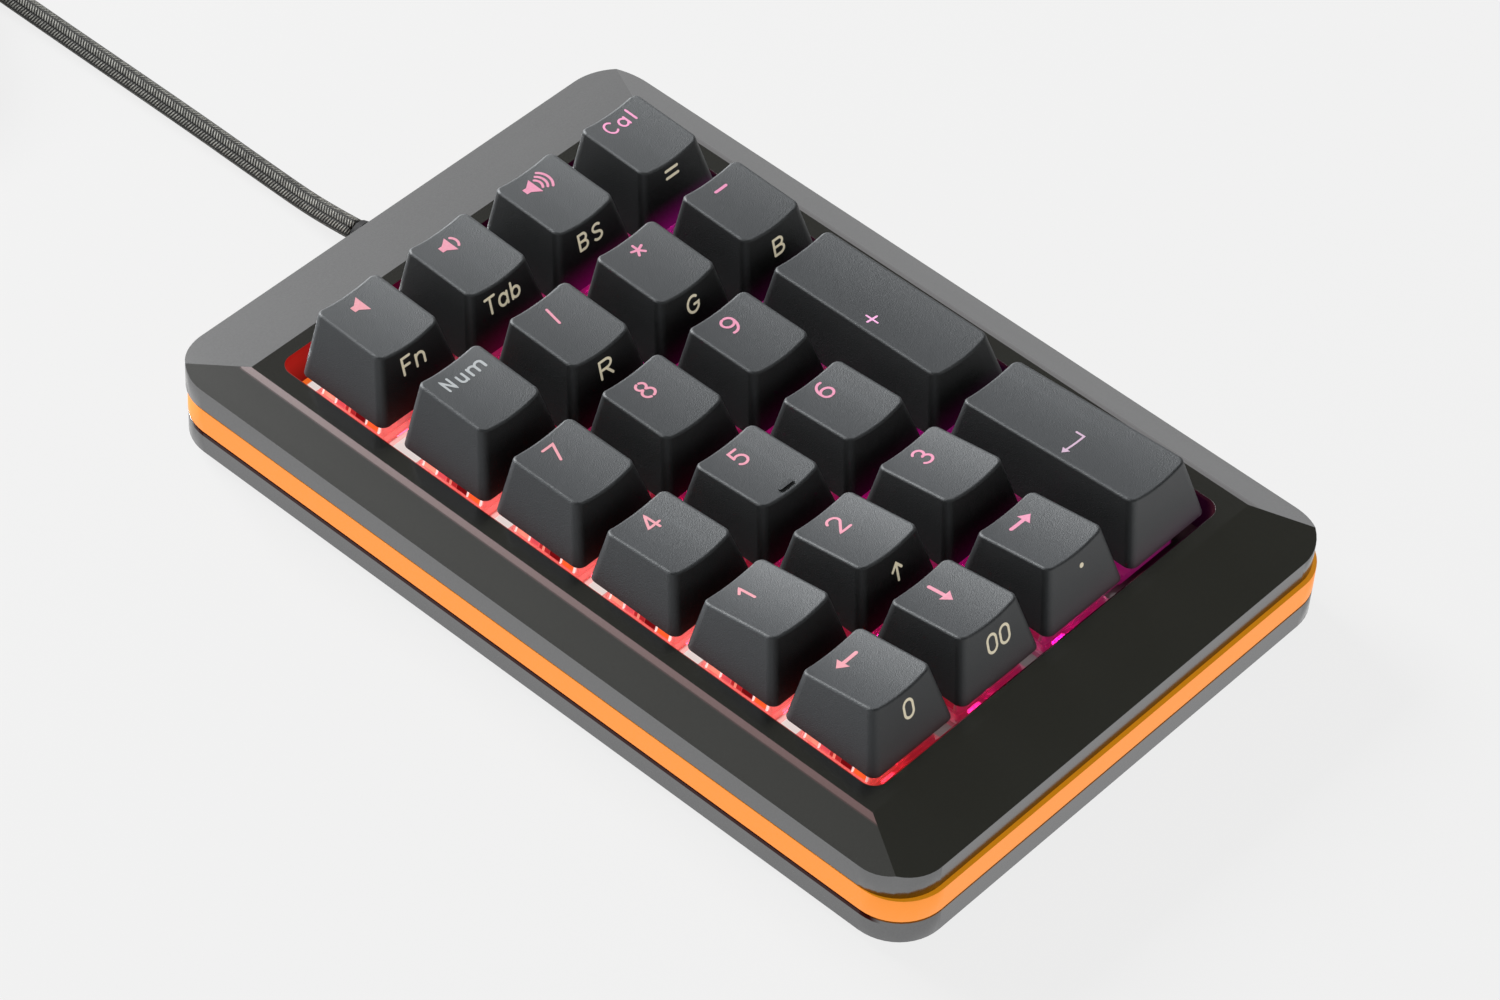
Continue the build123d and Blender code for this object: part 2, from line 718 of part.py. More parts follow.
coil_inner = coil_outer - (coil_rows - 1) * cable_diameter
coil_height = coil_layers * cable_diameter + 0.6       # with the tie under and over it
with BuildPart() as cable_coil:
    with BuildSketch(Plane.XY.offset(0.05)):
        with Locations(coil_centre):
            Circle(coil_outer + cable_diameter / 2)
            Circle(coil_inner - cable_diameter / 2, mode=Mode.SUBTRACT)
    extrude(amount=coil_height)

cable_coil.part.label = "usb_cable_coil"
export_step(cable_coil.part, "parts/usb_cable_coil.step")

# The computer's end of the cable lies across the top of the coil
host_x = coil_centre[0] + 13.0
host_start = coil_centre[1] - 13.0
host_width = 15.6
host_thickness = 8.0
host_length = 24.0
blade_width = 12.0
blade_height = 4.5
blade_length = 18.75
host_z = 0.05 + coil_height + 0.1 + host_thickness / 2

with BuildPart() as host_grip:
    host_plane = Plane(origin=(host_x, host_start, host_z), x_dir=(1, 0, 0), z_dir=(0, 1, 0))
    with BuildSketch(host_plane):
        Circle(cable_diameter / 2 + 0.3)
    with BuildSketch(host_plane.offset(4)):
        Circle(3.2)
    loft()
    with BuildSketch(host_plane.offset(4)):
        RectangleRounded(host_width, host_thickness, 1.8)
    extrude(amount=host_length - 4)

with BuildPart() as host_blade:
    with BuildSketch(host_plane.offset(host_length)):
        RectangleRounded(blade_width, blade_height, 0.4)
    extrude(amount=blade_length)
    with BuildSketch(host_plane.offset(host_length + blade_length)):
        Rectangle(blade_width - 0.7, blade_height - 0.7)
    extrude(amount=-blade_length + 1, mode=Mode.SUBTRACT)
    with BuildSketch(host_plane.offset(host_length + 1)):
        with Locations((0, -0.95)):
            Rectangle(blade_width - 0.7, 1.9)
    extrude(amount=blade_length - 1.5)

export_group(host_grip.part.solids() + host_blade.part.solids(), "usb_host_plug")
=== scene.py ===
import math

import bmesh
import bpy
from mathutils import Matrix, Vector


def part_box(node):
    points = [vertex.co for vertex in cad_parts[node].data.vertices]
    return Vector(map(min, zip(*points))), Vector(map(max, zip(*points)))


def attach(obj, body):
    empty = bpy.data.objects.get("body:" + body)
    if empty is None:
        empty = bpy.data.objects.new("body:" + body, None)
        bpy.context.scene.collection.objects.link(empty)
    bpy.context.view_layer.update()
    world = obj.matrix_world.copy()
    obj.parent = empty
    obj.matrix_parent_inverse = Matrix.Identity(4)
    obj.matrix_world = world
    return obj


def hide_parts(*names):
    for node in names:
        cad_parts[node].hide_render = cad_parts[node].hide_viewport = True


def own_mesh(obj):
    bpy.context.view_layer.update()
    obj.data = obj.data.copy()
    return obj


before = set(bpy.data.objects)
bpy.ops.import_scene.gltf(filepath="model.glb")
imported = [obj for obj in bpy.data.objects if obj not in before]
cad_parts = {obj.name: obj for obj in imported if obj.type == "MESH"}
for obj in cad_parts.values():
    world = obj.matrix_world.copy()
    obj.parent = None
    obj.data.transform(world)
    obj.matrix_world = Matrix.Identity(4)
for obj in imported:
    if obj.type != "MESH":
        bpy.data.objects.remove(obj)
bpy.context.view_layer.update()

MM = 0.001


# ---------- camera
def look_at(target, azimuth, elevation, distance, roll):
    a, e, r = math.radians(azimuth), math.radians(elevation), math.radians(roll)
    back = Vector((math.sin(a) * math.cos(e), -math.cos(a) * math.cos(e), math.sin(e)))
    right = Vector((0, 0, 1)).cross(back).normalized()
    up = back.cross(right)
    turned = [math.cos(r) * right + math.sin(r) * up, -math.sin(r) * right + math.cos(r) * up, back]
    matrix = Matrix(turned).transposed().to_4x4()
    matrix.translation = target + back * distance
    return matrix


LENS = 131.63  # mm, for a picture 36 mm wide
TARGET = Vector((-9.056, -8.472, 16.75)) * MM
DISTANCE = 808.71 * MM
AZIMUTH, ELEVATION, ROLL = -50.95, 46.11, 4.402


def make_camera():
    data = bpy.data.cameras.new("camera")
    data.sensor_width = 36.0
    data.lens = LENS
    data.clip_start = 0.05
    data.clip_end = 20.0
    camera = bpy.data.objects.new("camera", data)
    bpy.context.scene.collection.objects.link(camera)
    camera.matrix_world = look_at(TARGET, AZIMUTH, ELEVATION, DISTANCE, ROLL)
    bpy.context.scene.camera = camera
    bpy.context.scene.view_settings.view_transform = "Standard"


make_camera()


# ---------- materials
def nodes_of(material):
    """A material's node tree, and its main shader."""
    return material.node_tree, material.node_tree.nodes["Principled BSDF"]


def new_material(name):
    material = bpy.data.materials.new(name)
    material.use_nodes = True
    return (material, *nodes_of(material))


def node(tree, kind, inputs=None, **settings):
    """A shader node with its settings and its unlinked or linked inputs."""
    made = tree.nodes.new(kind)
    for name, value in settings.items():
        setattr(made, name, value)
    for name, value in (inputs or {}).items():
        if isinstance(value, bpy.types.NodeSocket):
            tree.links.new(value, made.inputs[name])
        else:
            made.inputs[name].default_value = value
    return made


def noise(tree, scale, detail=2.0, roughness=0.5):
    place = node(tree, "ShaderNodeTexCoord").outputs["Object"]
    inputs = {"Vector": place, "Scale": scale, "Detail": detail, "Roughness": roughness}
    return node(tree, "ShaderNodeTexNoise", inputs).outputs["Fac"]


def object_place(tree):
    """X, Y and Z of the shaded point in the object, in metres, as a node's outputs."""
    place = node(tree, "ShaderNodeTexCoord").outputs["Object"]
    return node(tree, "ShaderNodeSeparateXYZ", {"Vector": place}).outputs


def facing(tree):
    """X, Y and Z of the direction that the surface faces."""
    normal = node(tree, "ShaderNodeNewGeometry").outputs["Normal"]
    return node(tree, "ShaderNodeSeparateXYZ", {"Vector": normal}).outputs


def calculate(tree, operation, first, second=0.0):
    """The result of one sum on the two values."""
    return node(tree, "ShaderNodeMath", {0: first, 1: second}, operation=operation).outputs[0]


def multiply(tree, first, second):
    return calculate(tree, "MULTIPLY", first, second)


def spread(tree, value, low, high, to_low, to_high):
    """The value's range from low to high, stretched onto another range and held at its ends."""
    inputs = {"Value": value, "From Min": low, "From Max": high, "To Min": to_low, "To Max": to_high}
    return node(tree, "ShaderNodeMapRange", inputs).outputs["Result"]


def mix(tree, share, first, second):
    """The first colour where the share is 0, the second where it is 1."""
    made = node(tree, "ShaderNodeMix", data_type="RGBA")
    for socket, value in ((made.inputs[0], share), (made.inputs[6], first), (made.inputs[7], second)):
        if isinstance(value, bpy.types.NodeSocket):
            tree.links.new(value, socket)
        else:
            socket.default_value = value
    return made.outputs[2]


def bump(tree, shader, height, strength, distance):
    made = node(tree, "ShaderNodeBump", {"Height": height, "Strength": strength, "Distance": distance})
    tree.links.new(made.outputs["Normal"], shader.inputs["Normal"])


def shade(colour, factor):
    """A colour made darker or lighter, with its alpha."""
    return (*(c * factor for c in colour), 1.0)


def grained(
    name, colour, roughness, metallic=0.0, grain=0.0003, relief=0.35, depth=0.00003, vary=0.12, wear=0.25
):
    """A surface with a fine grain: colour, gloss and relief vary with it, and edges are rubbed lighter."""
    material, tree, shader = new_material(name)
    fine = noise(tree, 1.0 / grain, 3.0, 0.6)
    broad = noise(tree, 60.0, 3.0, 0.6)
    base = mix(tree, fine, shade(colour, 1 - vary), shade(colour, 1 + vary))
    base = mix(tree, spread(tree, broad, 0.35, 0.65, 0.0, 0.35), base, shade(colour, 1 + vary / 2))
    if wear:
        edge = node(tree, "ShaderNodeNewGeometry").outputs["Pointiness"]
        rubbed = spread(tree, edge, 0.53, 0.62, 0.0, wear)
        base = mix(tree, rubbed, base, shade(colour, 2.2))
    tree.links.new(base, shader.inputs["Base Color"])
    gloss = spread(tree, fine, 0.3, 0.7, roughness - 0.05, roughness + 0.07)
    tree.links.new(gloss, shader.inputs["Roughness"])
    shader.inputs["Metallic"].default_value = metallic
    bump(tree, shader, fine, relief, depth)
    return material


ANODISED = (0.181, 0.182, 0.184)
SATIN = 0.19
case_metal = grained("anodised_metal", ANODISED, SATIN, 1.0, grain=0.00035, relief=0.2)
orange_metal = grained("orange_metal", (0.42, 0.09, 0.006), 0.45, grain=0.00035, relief=0.15, wear=0.0)
cap_plastic = grained(
    "cap_plastic", (0.021, 0.0228, 0.0252), 0.54, grain=0.00018, relief=1.0, depth=0.00006, vary=0.5
)
plate_paint = grained("plate_paint", (0.26, 0.25, 0.25), 0.35, grain=0.0005, relief=0.1, wear=0.0)
dark_plastic = grained("dark_plastic", (0.018, 0.018, 0.019), 0.4, grain=0.0004, relief=0.25)
stem_plastic = grained("stem_plastic", (0.22, 0.05, 0.02), 0.35, grain=0.0004, relief=0.1)
steel = grained("bright_steel", (0.55, 0.55, 0.56), 0.25, 1.0, grain=0.00015, relief=0.05, vary=0.04)
black_steel = grained("black_steel", (0.05, 0.05, 0.052), 0.35, 0.9, grain=0.0004, relief=0.15)
rubber = grained("foot_rubber", (0.02, 0.02, 0.02), 0.75, grain=0.0004, relief=0.4, wear=0.0)
solder_mask = grained("solder_mask", (0.012, 0.03, 0.016), 0.3, grain=0.002, relief=0.1, wear=0.0)


def paint_band_glow(material):
    """Painted glow for light through the orange band: even on its sides, and a little weaker and darker on
    the ledge that faces up, as painted shade.
    """
    tree, shader = nodes_of(material)
    upward = spread(tree, facing(tree)["Z"], 0.2, 0.8, 0.0, 1.0)
    colour = mix(tree, upward, (1.0, 0.34, 0.03, 1), (0.62, 0.25, 0.0, 1))
    tree.links.new(colour, shader.inputs["Emission Color"])
    tree.links.new(spread(tree, upward, 0.0, 1.0, 0.66, 0.6), shader.inputs["Emission Strength"])


paint_band_glow(orange_metal)


RED_GLOW = (1.0, 0.03, 0.02, 1.0)
MAGENTA_GLOW = (0.85, 0.004, 0.38, 1.0)
VIOLET_GLOW = (0.42, 0.02, 0.62, 1.0)


def glow_colour(tree):
    """Backlight colour by place: red at the left and the front, magenta further in, violet at the right."""
    place = object_place(tree)
    across = spread(tree, place["X"], -0.034, 0.004, 0.0, 1.0)
    along = spread(tree, place["Y"], -0.062, -0.044, 0.55, 1.0)
    pink = mix(tree, multiply(tree, across, along), RED_GLOW, MAGENTA_GLOW)
    far = spread(tree, place["X"], 0.016, 0.040, 0.0, 0.6)
    return mix(tree, far, pink, VIOLET_GLOW)


def painted_left_glow(tree, inside, outside):
    """Share of painted glow: strong along the left column, where the light shows past the caps, and weak
    further in.
    """
    place = object_place(tree)
    column = spread(tree, place["X"], -0.0305, -0.027, 1.0, 0.0)
    edge = spread(tree, place["Y"], -0.0562, -0.0545, 0.0, 1.0)
    return spread(tree, multiply(tree, column, edge), 0.0, 1.0, outside, inside)


def clear_plastic():
    """The switch housings: see-through, with the light under them painted into their colour, and a painted
    glow that is strongest along the left column.
    """
    material, tree, shader = new_material("clear_plastic")
    cloud = noise(tree, 700.0, 3.0, 0.6)
    glow = glow_colour(tree)
    lit = mix(tree, painted_left_glow(tree, 0.75, 0.0), glow, (0.85, 0.20, 0.18, 1.0))
    tree.links.new(mix(tree, 0.35, (0.75, 0.72, 0.72, 1.0), glow), shader.inputs["Base Color"])
    tree.links.new(spread(tree, cloud, 0.3, 0.7, 0.05, 0.2), shader.inputs["Roughness"])
    tree.links.new(lit, shader.inputs["Emission Color"])
    tree.links.new(painted_left_glow(tree, 0.5, 0.12), shader.inputs["Emission Strength"])
    shader.inputs["Alpha"].default_value = 0.55
    shader.inputs["IOR"].default_value = 1.58
    bump(tree, shader, cloud, 0.2, 0.00005)
    return material


# Painted light and shade in the caps' colour: dark on side faces that a neighbour hides, lighter on open
# faces and on the back rows
HIDDEN_FRONT = (0.003, 0.003, 0.003, 1)  # painted shade on front faces behind another row
HIDDEN_LEFT = (0.006, 0.0065, 0.007, 1)  # painted shade on left faces beside another key
OPEN_LEFT = (0.036, 0.039, 0.042, 1)
OPEN_FRONT = (0.052, 0.054, 0.056, 1)
OPEN_FRONT_RIGHT = (0.090, 0.092, 0.095, 1)
BACK_ROWS = (0.052, 0.055, 0.058, 1)
FACE_LIMITS = (-0.95, -0.6)  # how squarely a side face looks to the left or front


def paint_skirt_glow(material):
    """Painted backlight glow on the lower front faces of the caps: strongest on the back row, where the gap
    is widest.
    """
    tree, shader = nodes_of(material)
    place = object_place(tree)
    front = spread(tree, facing(tree)["Y"], *FACE_LIMITS, 1.0, 0.0)
    row = spread(tree, place["Y"], 0.025, 0.036, 0.15, 1.0)
    column = spread(tree, place["X"], -0.03, 0.03, 0.01, 0.16)
    low = spread(tree, place["Z"], 0.0165, 0.0215, 1.0, 0.0)
    share = multiply(tree, multiply(tree, front, row), column)
    share = multiply(tree, share, calculate(tree, "POWER", low, 1.6))
    tree.links.new(glow_colour(tree), shader.inputs["Emission Color"])
    tree.links.new(share, shader.inputs["Emission Strength"])


def paint_face_shade(material):
    """Painted shade and light on the caps by face: dark where a neighbour hides a side face, lighter where
    it is open, and lighter on the back rows.
    """
    tree, shader = nodes_of(material)
    shader.inputs["Specular IOR Level"].default_value = 0.42
    shader.inputs["Specular Tint"].default_value = (0.94, 0.98, 1.0, 1.0)
    place = object_place(tree)
    direction = facing(tree)
    base = shader.inputs["Base Color"].links[0].from_socket
    base = mix(tree, spread(tree, place["Y"], 0.015, 0.055, 0.0, 0.6), base, BACK_ROWS)
    left = spread(tree, direction["X"], *FACE_LIMITS, 1.0, 0.0)
    open_side = spread(tree, place["X"], -0.030, -0.026, 1.0, 0.0)
    base = mix(tree, left, base, mix(tree, open_side, HIDDEN_LEFT, OPEN_LEFT))
    front = spread(tree, direction["Y"], *FACE_LIMITS, 1.0, 0.0)
    behind = spread(tree, place["Y"], -0.050, -0.046, 0.0, 1.0)
    across = spread(tree, place["X"], -0.030, 0.030, 0.0, 1.0)
    shown = mix(tree, across, OPEN_FRONT, OPEN_FRONT_RIGHT)
    base = mix(tree, front, base, mix(tree, behind, shown, HIDDEN_FRONT))
    tree.links.new(base, shader.inputs["Base Color"])


paint_skirt_glow(cap_plastic)
paint_face_shade(cap_plastic)


def painted_glow_detail(name, colour, strength):
    """A part of the clear housing with painted light: it glows in its own colour along the left column and
    in the backlight's colour past it.
    """
    material, tree, shader = new_material(name)
    cloud = noise(tree, 900.0, 3.0, 0.6)
    tint = mix(tree, painted_left_glow(tree, 0.0, 0.85), shade(colour, 1.0), glow_colour(tree))
    tint = mix(tree, spread(tree, cloud, 0.35, 0.65, 0.0, 0.35), tint, shade(colour, 0.5))
    tree.links.new(tint, shader.inputs["Base Color"])
    tree.links.new(tint, shader.inputs["Emission Color"])
    tree.links.new(painted_left_glow(tree, strength, strength * 0.12), shader.inputs["Emission Strength"])
    tree.links.new(spread(tree, cloud, 0.3, 0.7, 0.1, 0.3), shader.inputs["Roughness"])
    bump(tree, shader, cloud, 0.2, 0.00005)
    return material


def light_material():
    """The lens of a key light, which shines in the backlight's colour."""
    material, tree, shader = new_material("key_light")
    tree.links.new(glow_colour(tree), shader.inputs["Emission Color"])
    shader.inputs["Emission Strength"].default_value = 40.0
    shader.inputs["Base Color"].default_value = (0.8, 0.7, 0.6, 1.0)
    return material


# A sign's finish with a painted glow: it shines in its own colour
def legend_material(name, colour, strength):
    material, tree, shader = new_material(name)
    cloud = noise(tree, 2500.0, 2.0, 0.5)
    tint = mix(tree, cloud, shade(colour, 0.85), shade(colour, 1.08))
    tree.links.new(tint, shader.inputs["Base Color"])
    tree.links.new(tint, shader.inputs["Emission Color"])
    shader.inputs["Emission Strength"].default_value = strength
    shader.inputs["Roughness"].default_value = 0.4
    return material


def braid_material():
    """Woven yarn in leaning rows, from the tube's own UV: around, and along in metres."""
    columns, pitch, slant, offset = 8.0, 0.58 * MM, 1.5, 0.37
    material, tree, shader = new_material("cable_braid")
    flat = node(tree, "ShaderNodeUVMap", uv_map="braid").outputs["UV"]
    parts = node(tree, "ShaderNodeSeparateXYZ", {"Vector": flat})

    around = multiply(tree, parts.outputs["X"], columns)
    column = calculate(tree, "FLOOR", around)
    inside = calculate(tree, "SUBTRACT", calculate(tree, "FRACT", around), 0.5)
    odd = calculate(tree, "MODULO", column, 2.0)
    lean = calculate(tree, "SUBTRACT", multiply(tree, odd, 2.0), 1.0)
    along = multiply(tree, parts.outputs["Y"], 1.0 / pitch)
    phase = calculate(tree, "ADD", along, multiply(tree, multiply(tree, inside, lean), slant))
    phase = calculate(tree, "ADD", phase, multiply(tree, column, offset))
    wave = calculate(tree, "ABSOLUTE", calculate(tree, "SINE", multiply(tree, phase, math.pi)))
    from_middle = multiply(tree, calculate(tree, "ABSOLUTE", inside), 2.0)
    rows = calculate(tree, "SUBTRACT", 1.0, calculate(tree, "POWER", from_middle, 5.0))
    height = multiply(tree, wave, rows)

    fleck = spread(tree, noise(tree, 900.0, 2.0, 0.7), 0.32, 0.55, 0.25, 1.0)
    pale = multiply(tree, spread(tree, height, 0.62, 0.92, 0.0, 1.0), fleck)
    tint = mix(tree, pale, (0.003, 0.0032, 0.0025, 1), (0.20, 0.20, 0.182, 1))
    tree.links.new(tint, shader.inputs["Base Color"])
    shader.inputs["Roughness"].default_value = 0.65
    shader.inputs["Specular IOR Level"].default_value = 0.2
    shader.inputs["Sheen Weight"].default_value = 0.04
    bump(tree, shader, height, 0.9, 0.00014)
    return material


# ---------- mesh helpers
def add_piece(name, mesh, material, body, smooth=True):
    """An object of the mesh, riding on a body, with its material and the record's material slot."""
    made = bpy.data.objects.new(name, mesh)
    bpy.context.scene.collection.objects.link(made)
    mesh.materials.append(material)
    if smooth:
        mesh.shade_smooth()
    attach(made, body)
    return made


def mesh_from(bm, name):
    bmesh.ops.remove_doubles(bm, verts=bm.verts, dist=1e-7)
    bmesh.ops.recalc_face_normals(bm, faces=bm.faces)
    mesh = bpy.data.meshes.new(name)
    bm.to_mesh(mesh)
    bm.free()
    return mesh


def rounded_outline(half_x, front, back, radius, arc=8, side=6):
    """Points round a rounded rectangle, counterclockwise."""
    corners = [
        (half_x - radius, front + radius, -90.0),
        (half_x - radius, back - radius, 0.0),
        (-half_x + radius, back - radius, 90.0),
        (-half_x + radius, front + radius, 180.0),
    ]
    points = []
    for index, (x, y, start) in enumerate(corners):
        for step in range(arc + 1):
            angle = math.radians(start + 90.0 * step / arc)
            points.append((x + radius * math.cos(angle), y + radius * math.sin(angle)))
        nx, ny, next_start = corners[(index + 1) % 4]
        angle = math.radians(next_start)
        end = (nx + radius * math.cos(angle), ny + radius * math.sin(angle))
        last = points[-1]
        for step in range(1, side):
            share = step / side
            points.append((last[0] + (end[0] - last[0]) * share, last[1] + (end[1] - last[1]) * share))
    return points


def strip(bm, lower, upper):
    """A band of faces between two closed rings of points."""
    count = len(lower)
    for i in range(count):
        j = (i + 1) % count
        bm.faces.new((lower[i], lower[j], upper[j], upper[i]))


# ---------- cable, with its coil
coil_low, coil_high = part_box("usb_cable_coil")
tube_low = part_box("usb_cable")[0]
CABLE = 3.6 * MM
REST = tube_low.z + CABLE / 2
coil_middle = (coil_low + coil_high) / 2
OUTER = (coil_high.x - coil_low.x) / 2 - CABLE / 2
LAYER_TURNS = 3
INNER = OUTER - LAYER_TURNS * CABLE
EXIT = Vector((0.0, 0.0821, 0.00405))
route = [
    EXIT,
    Vector((0.00005, 0.0868, 0.0033)),
    Vector((0.0004, 0.094, 0.0022)),
    Vector((0.0007, 0.104, REST)),
    Vector((0.00085, 0.122, REST)),
    Vector((0.00065, 0.152, REST)),
    Vector((coil_middle.x + OUTER, coil_middle.y - 0.010, REST)),
]

STRAP_ROOM = 0.0005  # for the tie's strap, under the coil
FIRST_LAYER = coil_low.z + STRAP_ROOM + CABLE / 2
PER_TURN = 16
START_RISE = 60.0  # degrees taken to rise from the floor onto the strap
CLIMB = 100.0  # degrees taken to step up a layer
inward = [(360.0 * LAYER_TURNS, OUTER, INNER), (CLIMB, INNER, INNER)]
outward = [(360.0 * LAYER_TURNS, INNER, OUTER), (CLIMB, OUTER, OUTER)]
LAST = 1020.0  # degrees of the third layer
TAIL = 130.0  # degrees over the top, to the plug
TAIL_GAP = 0.0002  # between the third layer and the tail
TAIL_CLIMB = 1.9  # how much sooner the tail is at its height than at its radius
stages = inward + outward + [(LAST, OUTER, OUTER - CABLE * LAST / 360.0)]


def smooth_step(share):
    """From 0 to 1, slow at both ends."""
    share = min(max(share, 0.0), 1.0)
    return share * share * (3 - 2 * share)


def coil_place(angle):
    """Radius and height of the cable's line at an angle from where it meets the coil."""
    left = angle
    for index, (span, start, end) in enumerate(stages):
        if left <= span:
            layer = FIRST_LAYER + CABLE * (index // 2)
            radius = start + (end - start) * left / span
            if index % 2:
                return radius, layer + CABLE * smooth_step(left / span)
            if index == 0:
                return radius, REST + (layer - REST) * smooth_step(left / START_RISE)
            return radius, layer
        left -= span
    share = left / TAIL
    start = stages[-1][2]
    top = FIRST_LAYER + 3 * CABLE + TAIL_GAP
    return start + (OUTER - start) * smooth_step(share), top - CABLE * (1 - smooth_step(share * TAIL_CLIMB))


def round_place(centre, radius, degrees, height):
    """A point on a level circle."""
    turn = math.radians(degrees)
    return Vector((centre.x + radius * math.cos(turn), centre.y + radius * math.sin(turn), height))


COIL_END = sum(span for span, _, _ in stages) + TAIL
WIDEN = 8.0 / (6.0 + 2.0 * math.cos(2 * math.pi / PER_TURN))  # a spline cuts inside its points
for point in range(math.ceil(COIL_END * PER_TURN / 360.0 - 0.5)):
    coil_angle = (point + 0.5) * 360.0 / PER_TURN
    coil_radius, coil_height = coil_place(coil_angle)
    route.append(round_place(coil_middle, coil_radius * WIDEN, coil_angle, coil_height))

plug_low, plug_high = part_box("usb_host_plug")
plug_middle = (plug_low + plug_high) / 2
BEND = 0.013  # radius of the bend from the coil to the plug
BEND_WIDEN = 1.03
coil_top = coil_place(COIL_END)[1]
bend_centre = Vector((coil_middle.x, coil_middle.y - OUTER + BEND, 0))
for along_bend in (0.05, 0.3, 0.55, 0.8):
    rise = coil_top + (plug_middle.z - coil_top) * smooth_step(along_bend)
    route.append(round_place(bend_centre, BEND * BEND_WIDEN, -90.0 + 90.0 * along_bend, rise))
route.append(Vector((plug_middle.x, plug_low.y - 1.5 * MM, plug_middle.z)))
route.append(Vector((plug_middle.x, plug_low.y + 1.0 * MM, plug_middle.z)))


def spline_points(points, name):
    """The smooth line of a NURBS curve through these control points."""
    curve = bpy.data.curves.new(name, "CURVE")
    curve.dimensions = "3D"
    spline = curve.splines.new("NURBS")
    spline.points.add(len(points) - 1)
    for point, place in zip(spline.points, points):
        point.co = (*place, 1.0)
    spline.order_u = 3
    spline.use_endpoint_u = True
    curve.resolution_u = 8
    holder = bpy.data.objects.new(name, curve)
    bpy.context.scene.collection.objects.link(holder)
    line = bpy.data.meshes.new_from_object(holder)
    places = [vertex.co.copy() for vertex in line.vertices]
    bpy.data.objects.remove(holder)
    return places


def tube_mesh(places, radius, name, around=20):
    """A tube along a line, with UVs round it and along it in metres."""
    bm = bmesh.new()
    flat = bm.loops.layers.uv.new("braid")
    across = None
    rings = []
    length = 0.0
    lengths = []
    for index, place in enumerate(places):
        ahead = (places[min(index + 1, len(places) - 1)] - places[max(index - 1, 0)]).normalized()
        if across is None:
            across = ahead.orthogonal().normalized()
        else:
            across = (across - ahead * across.dot(ahead)).normalized()
            length += (place - places[index - 1]).length
        other = ahead.cross(across)
        ring = []
        for step in range(around):
            turn = 2 * math.pi * step / around
            ring.append(bm.verts.new(place + (across * math.cos(turn) + other * math.sin(turn)) * radius))
        rings.append(ring)
        lengths.append(length)
    for index in range(len(rings) - 1):
        for step in range(around):
            after = (step + 1) % around
            ring, following = rings[index], rings[index + 1]
            face = bm.faces.new((ring[step], ring[after], following[after], following[step]))
            spots = [(step, index), (step + 1, index), (step + 1, index + 1), (step, index + 1)]
            for loop, (turn, along) in zip(face.loops, spots):
                loop[flat].uv = (turn / around, lengths[along])
    bm.faces.new(list(reversed(rings[0])))
    bm.faces.new(rings[-1])
    bmesh.ops.recalc_face_normals(bm, faces=bm.faces)
    mesh = bpy.data.meshes.new(name)
    bm.to_mesh(mesh)
    bm.free()
    return mesh


cable_line = spline_points(route, "cable_line")
braid = braid_material()
cable_mesh = tube_mesh(cable_line, CABLE / 2, "braided_cable")
cable = add_piece("braided_cable", cable_mesh, braid, "case")
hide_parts("usb_cable", "usb_cable_coil")

plug_plastic = grained("plug_plastic", (0.012, 0.012, 0.013), 0.7, grain=0.0004, relief=0.4, wear=0.0)
nodes_of(plug_plastic)[1].inputs["Specular IOR Level"].default_value = 0.12


def strap_mesh(middle, half_width, inner, outer, low, high, thickness, radius=1.4 * MM):
    """A flat band closed round the coil's section: a rounded ring in the plane of its radius."""
    bm = bmesh.new()
    rings = []
    for offset in (0.0, thickness):
        outline = rounded_outline((outer - inner) / 2 + offset, low - offset, high + offset, radius + offset)
        for side in (-half_width, half_width):
            ring = []
            for x, z in outline:
                ring.append(bm.verts.new(middle + Vector((-(inner + outer) / 2 - x, side, z))))
            rings.append(ring)
    strip(bm, rings[0], rings[1])
    strip(bm, rings[2], rings[3])
    strip(bm, rings[0], rings[2])
    strip(bm, rings[1], rings[3])
    return mesh_from(bm, "tie_strap")


STRAP_SIDE = 0.62 * CABLE  # from the middle of the inner and outer turns
STRAP_TOP = 2.55 * CABLE  # from the middle of the first layer
tie = add_piece(
    "tie_strap",
    strap_mesh(
        Vector((coil_middle.x, coil_middle.y, 0)),
        half_width=5.5 * MM,
        inner=INNER - STRAP_SIDE,
        outer=OUTER + STRAP_SIDE,
        low=FIRST_LAYER - CABLE / 2,
        high=FIRST_LAYER + STRAP_TOP,
        thickness=0.4 * MM,
    ),
    dark_plastic,
    "case",
)


# ---------- legends
def arc(cx, cy, rx, ry, start, end, steps=14):
    """Points on an ellipse, angles in degrees."""
    places = []
    for step in range(steps + 1):
        turn = math.radians(start + (end - start) * step / steps)
        places.append((cx + rx * math.cos(turn), cy + ry * math.sin(turn)))
    return places


SPOKES = (1.57, 2.83, 4.08, 5.34, 6.6)  # directions of the star's arms, in radians
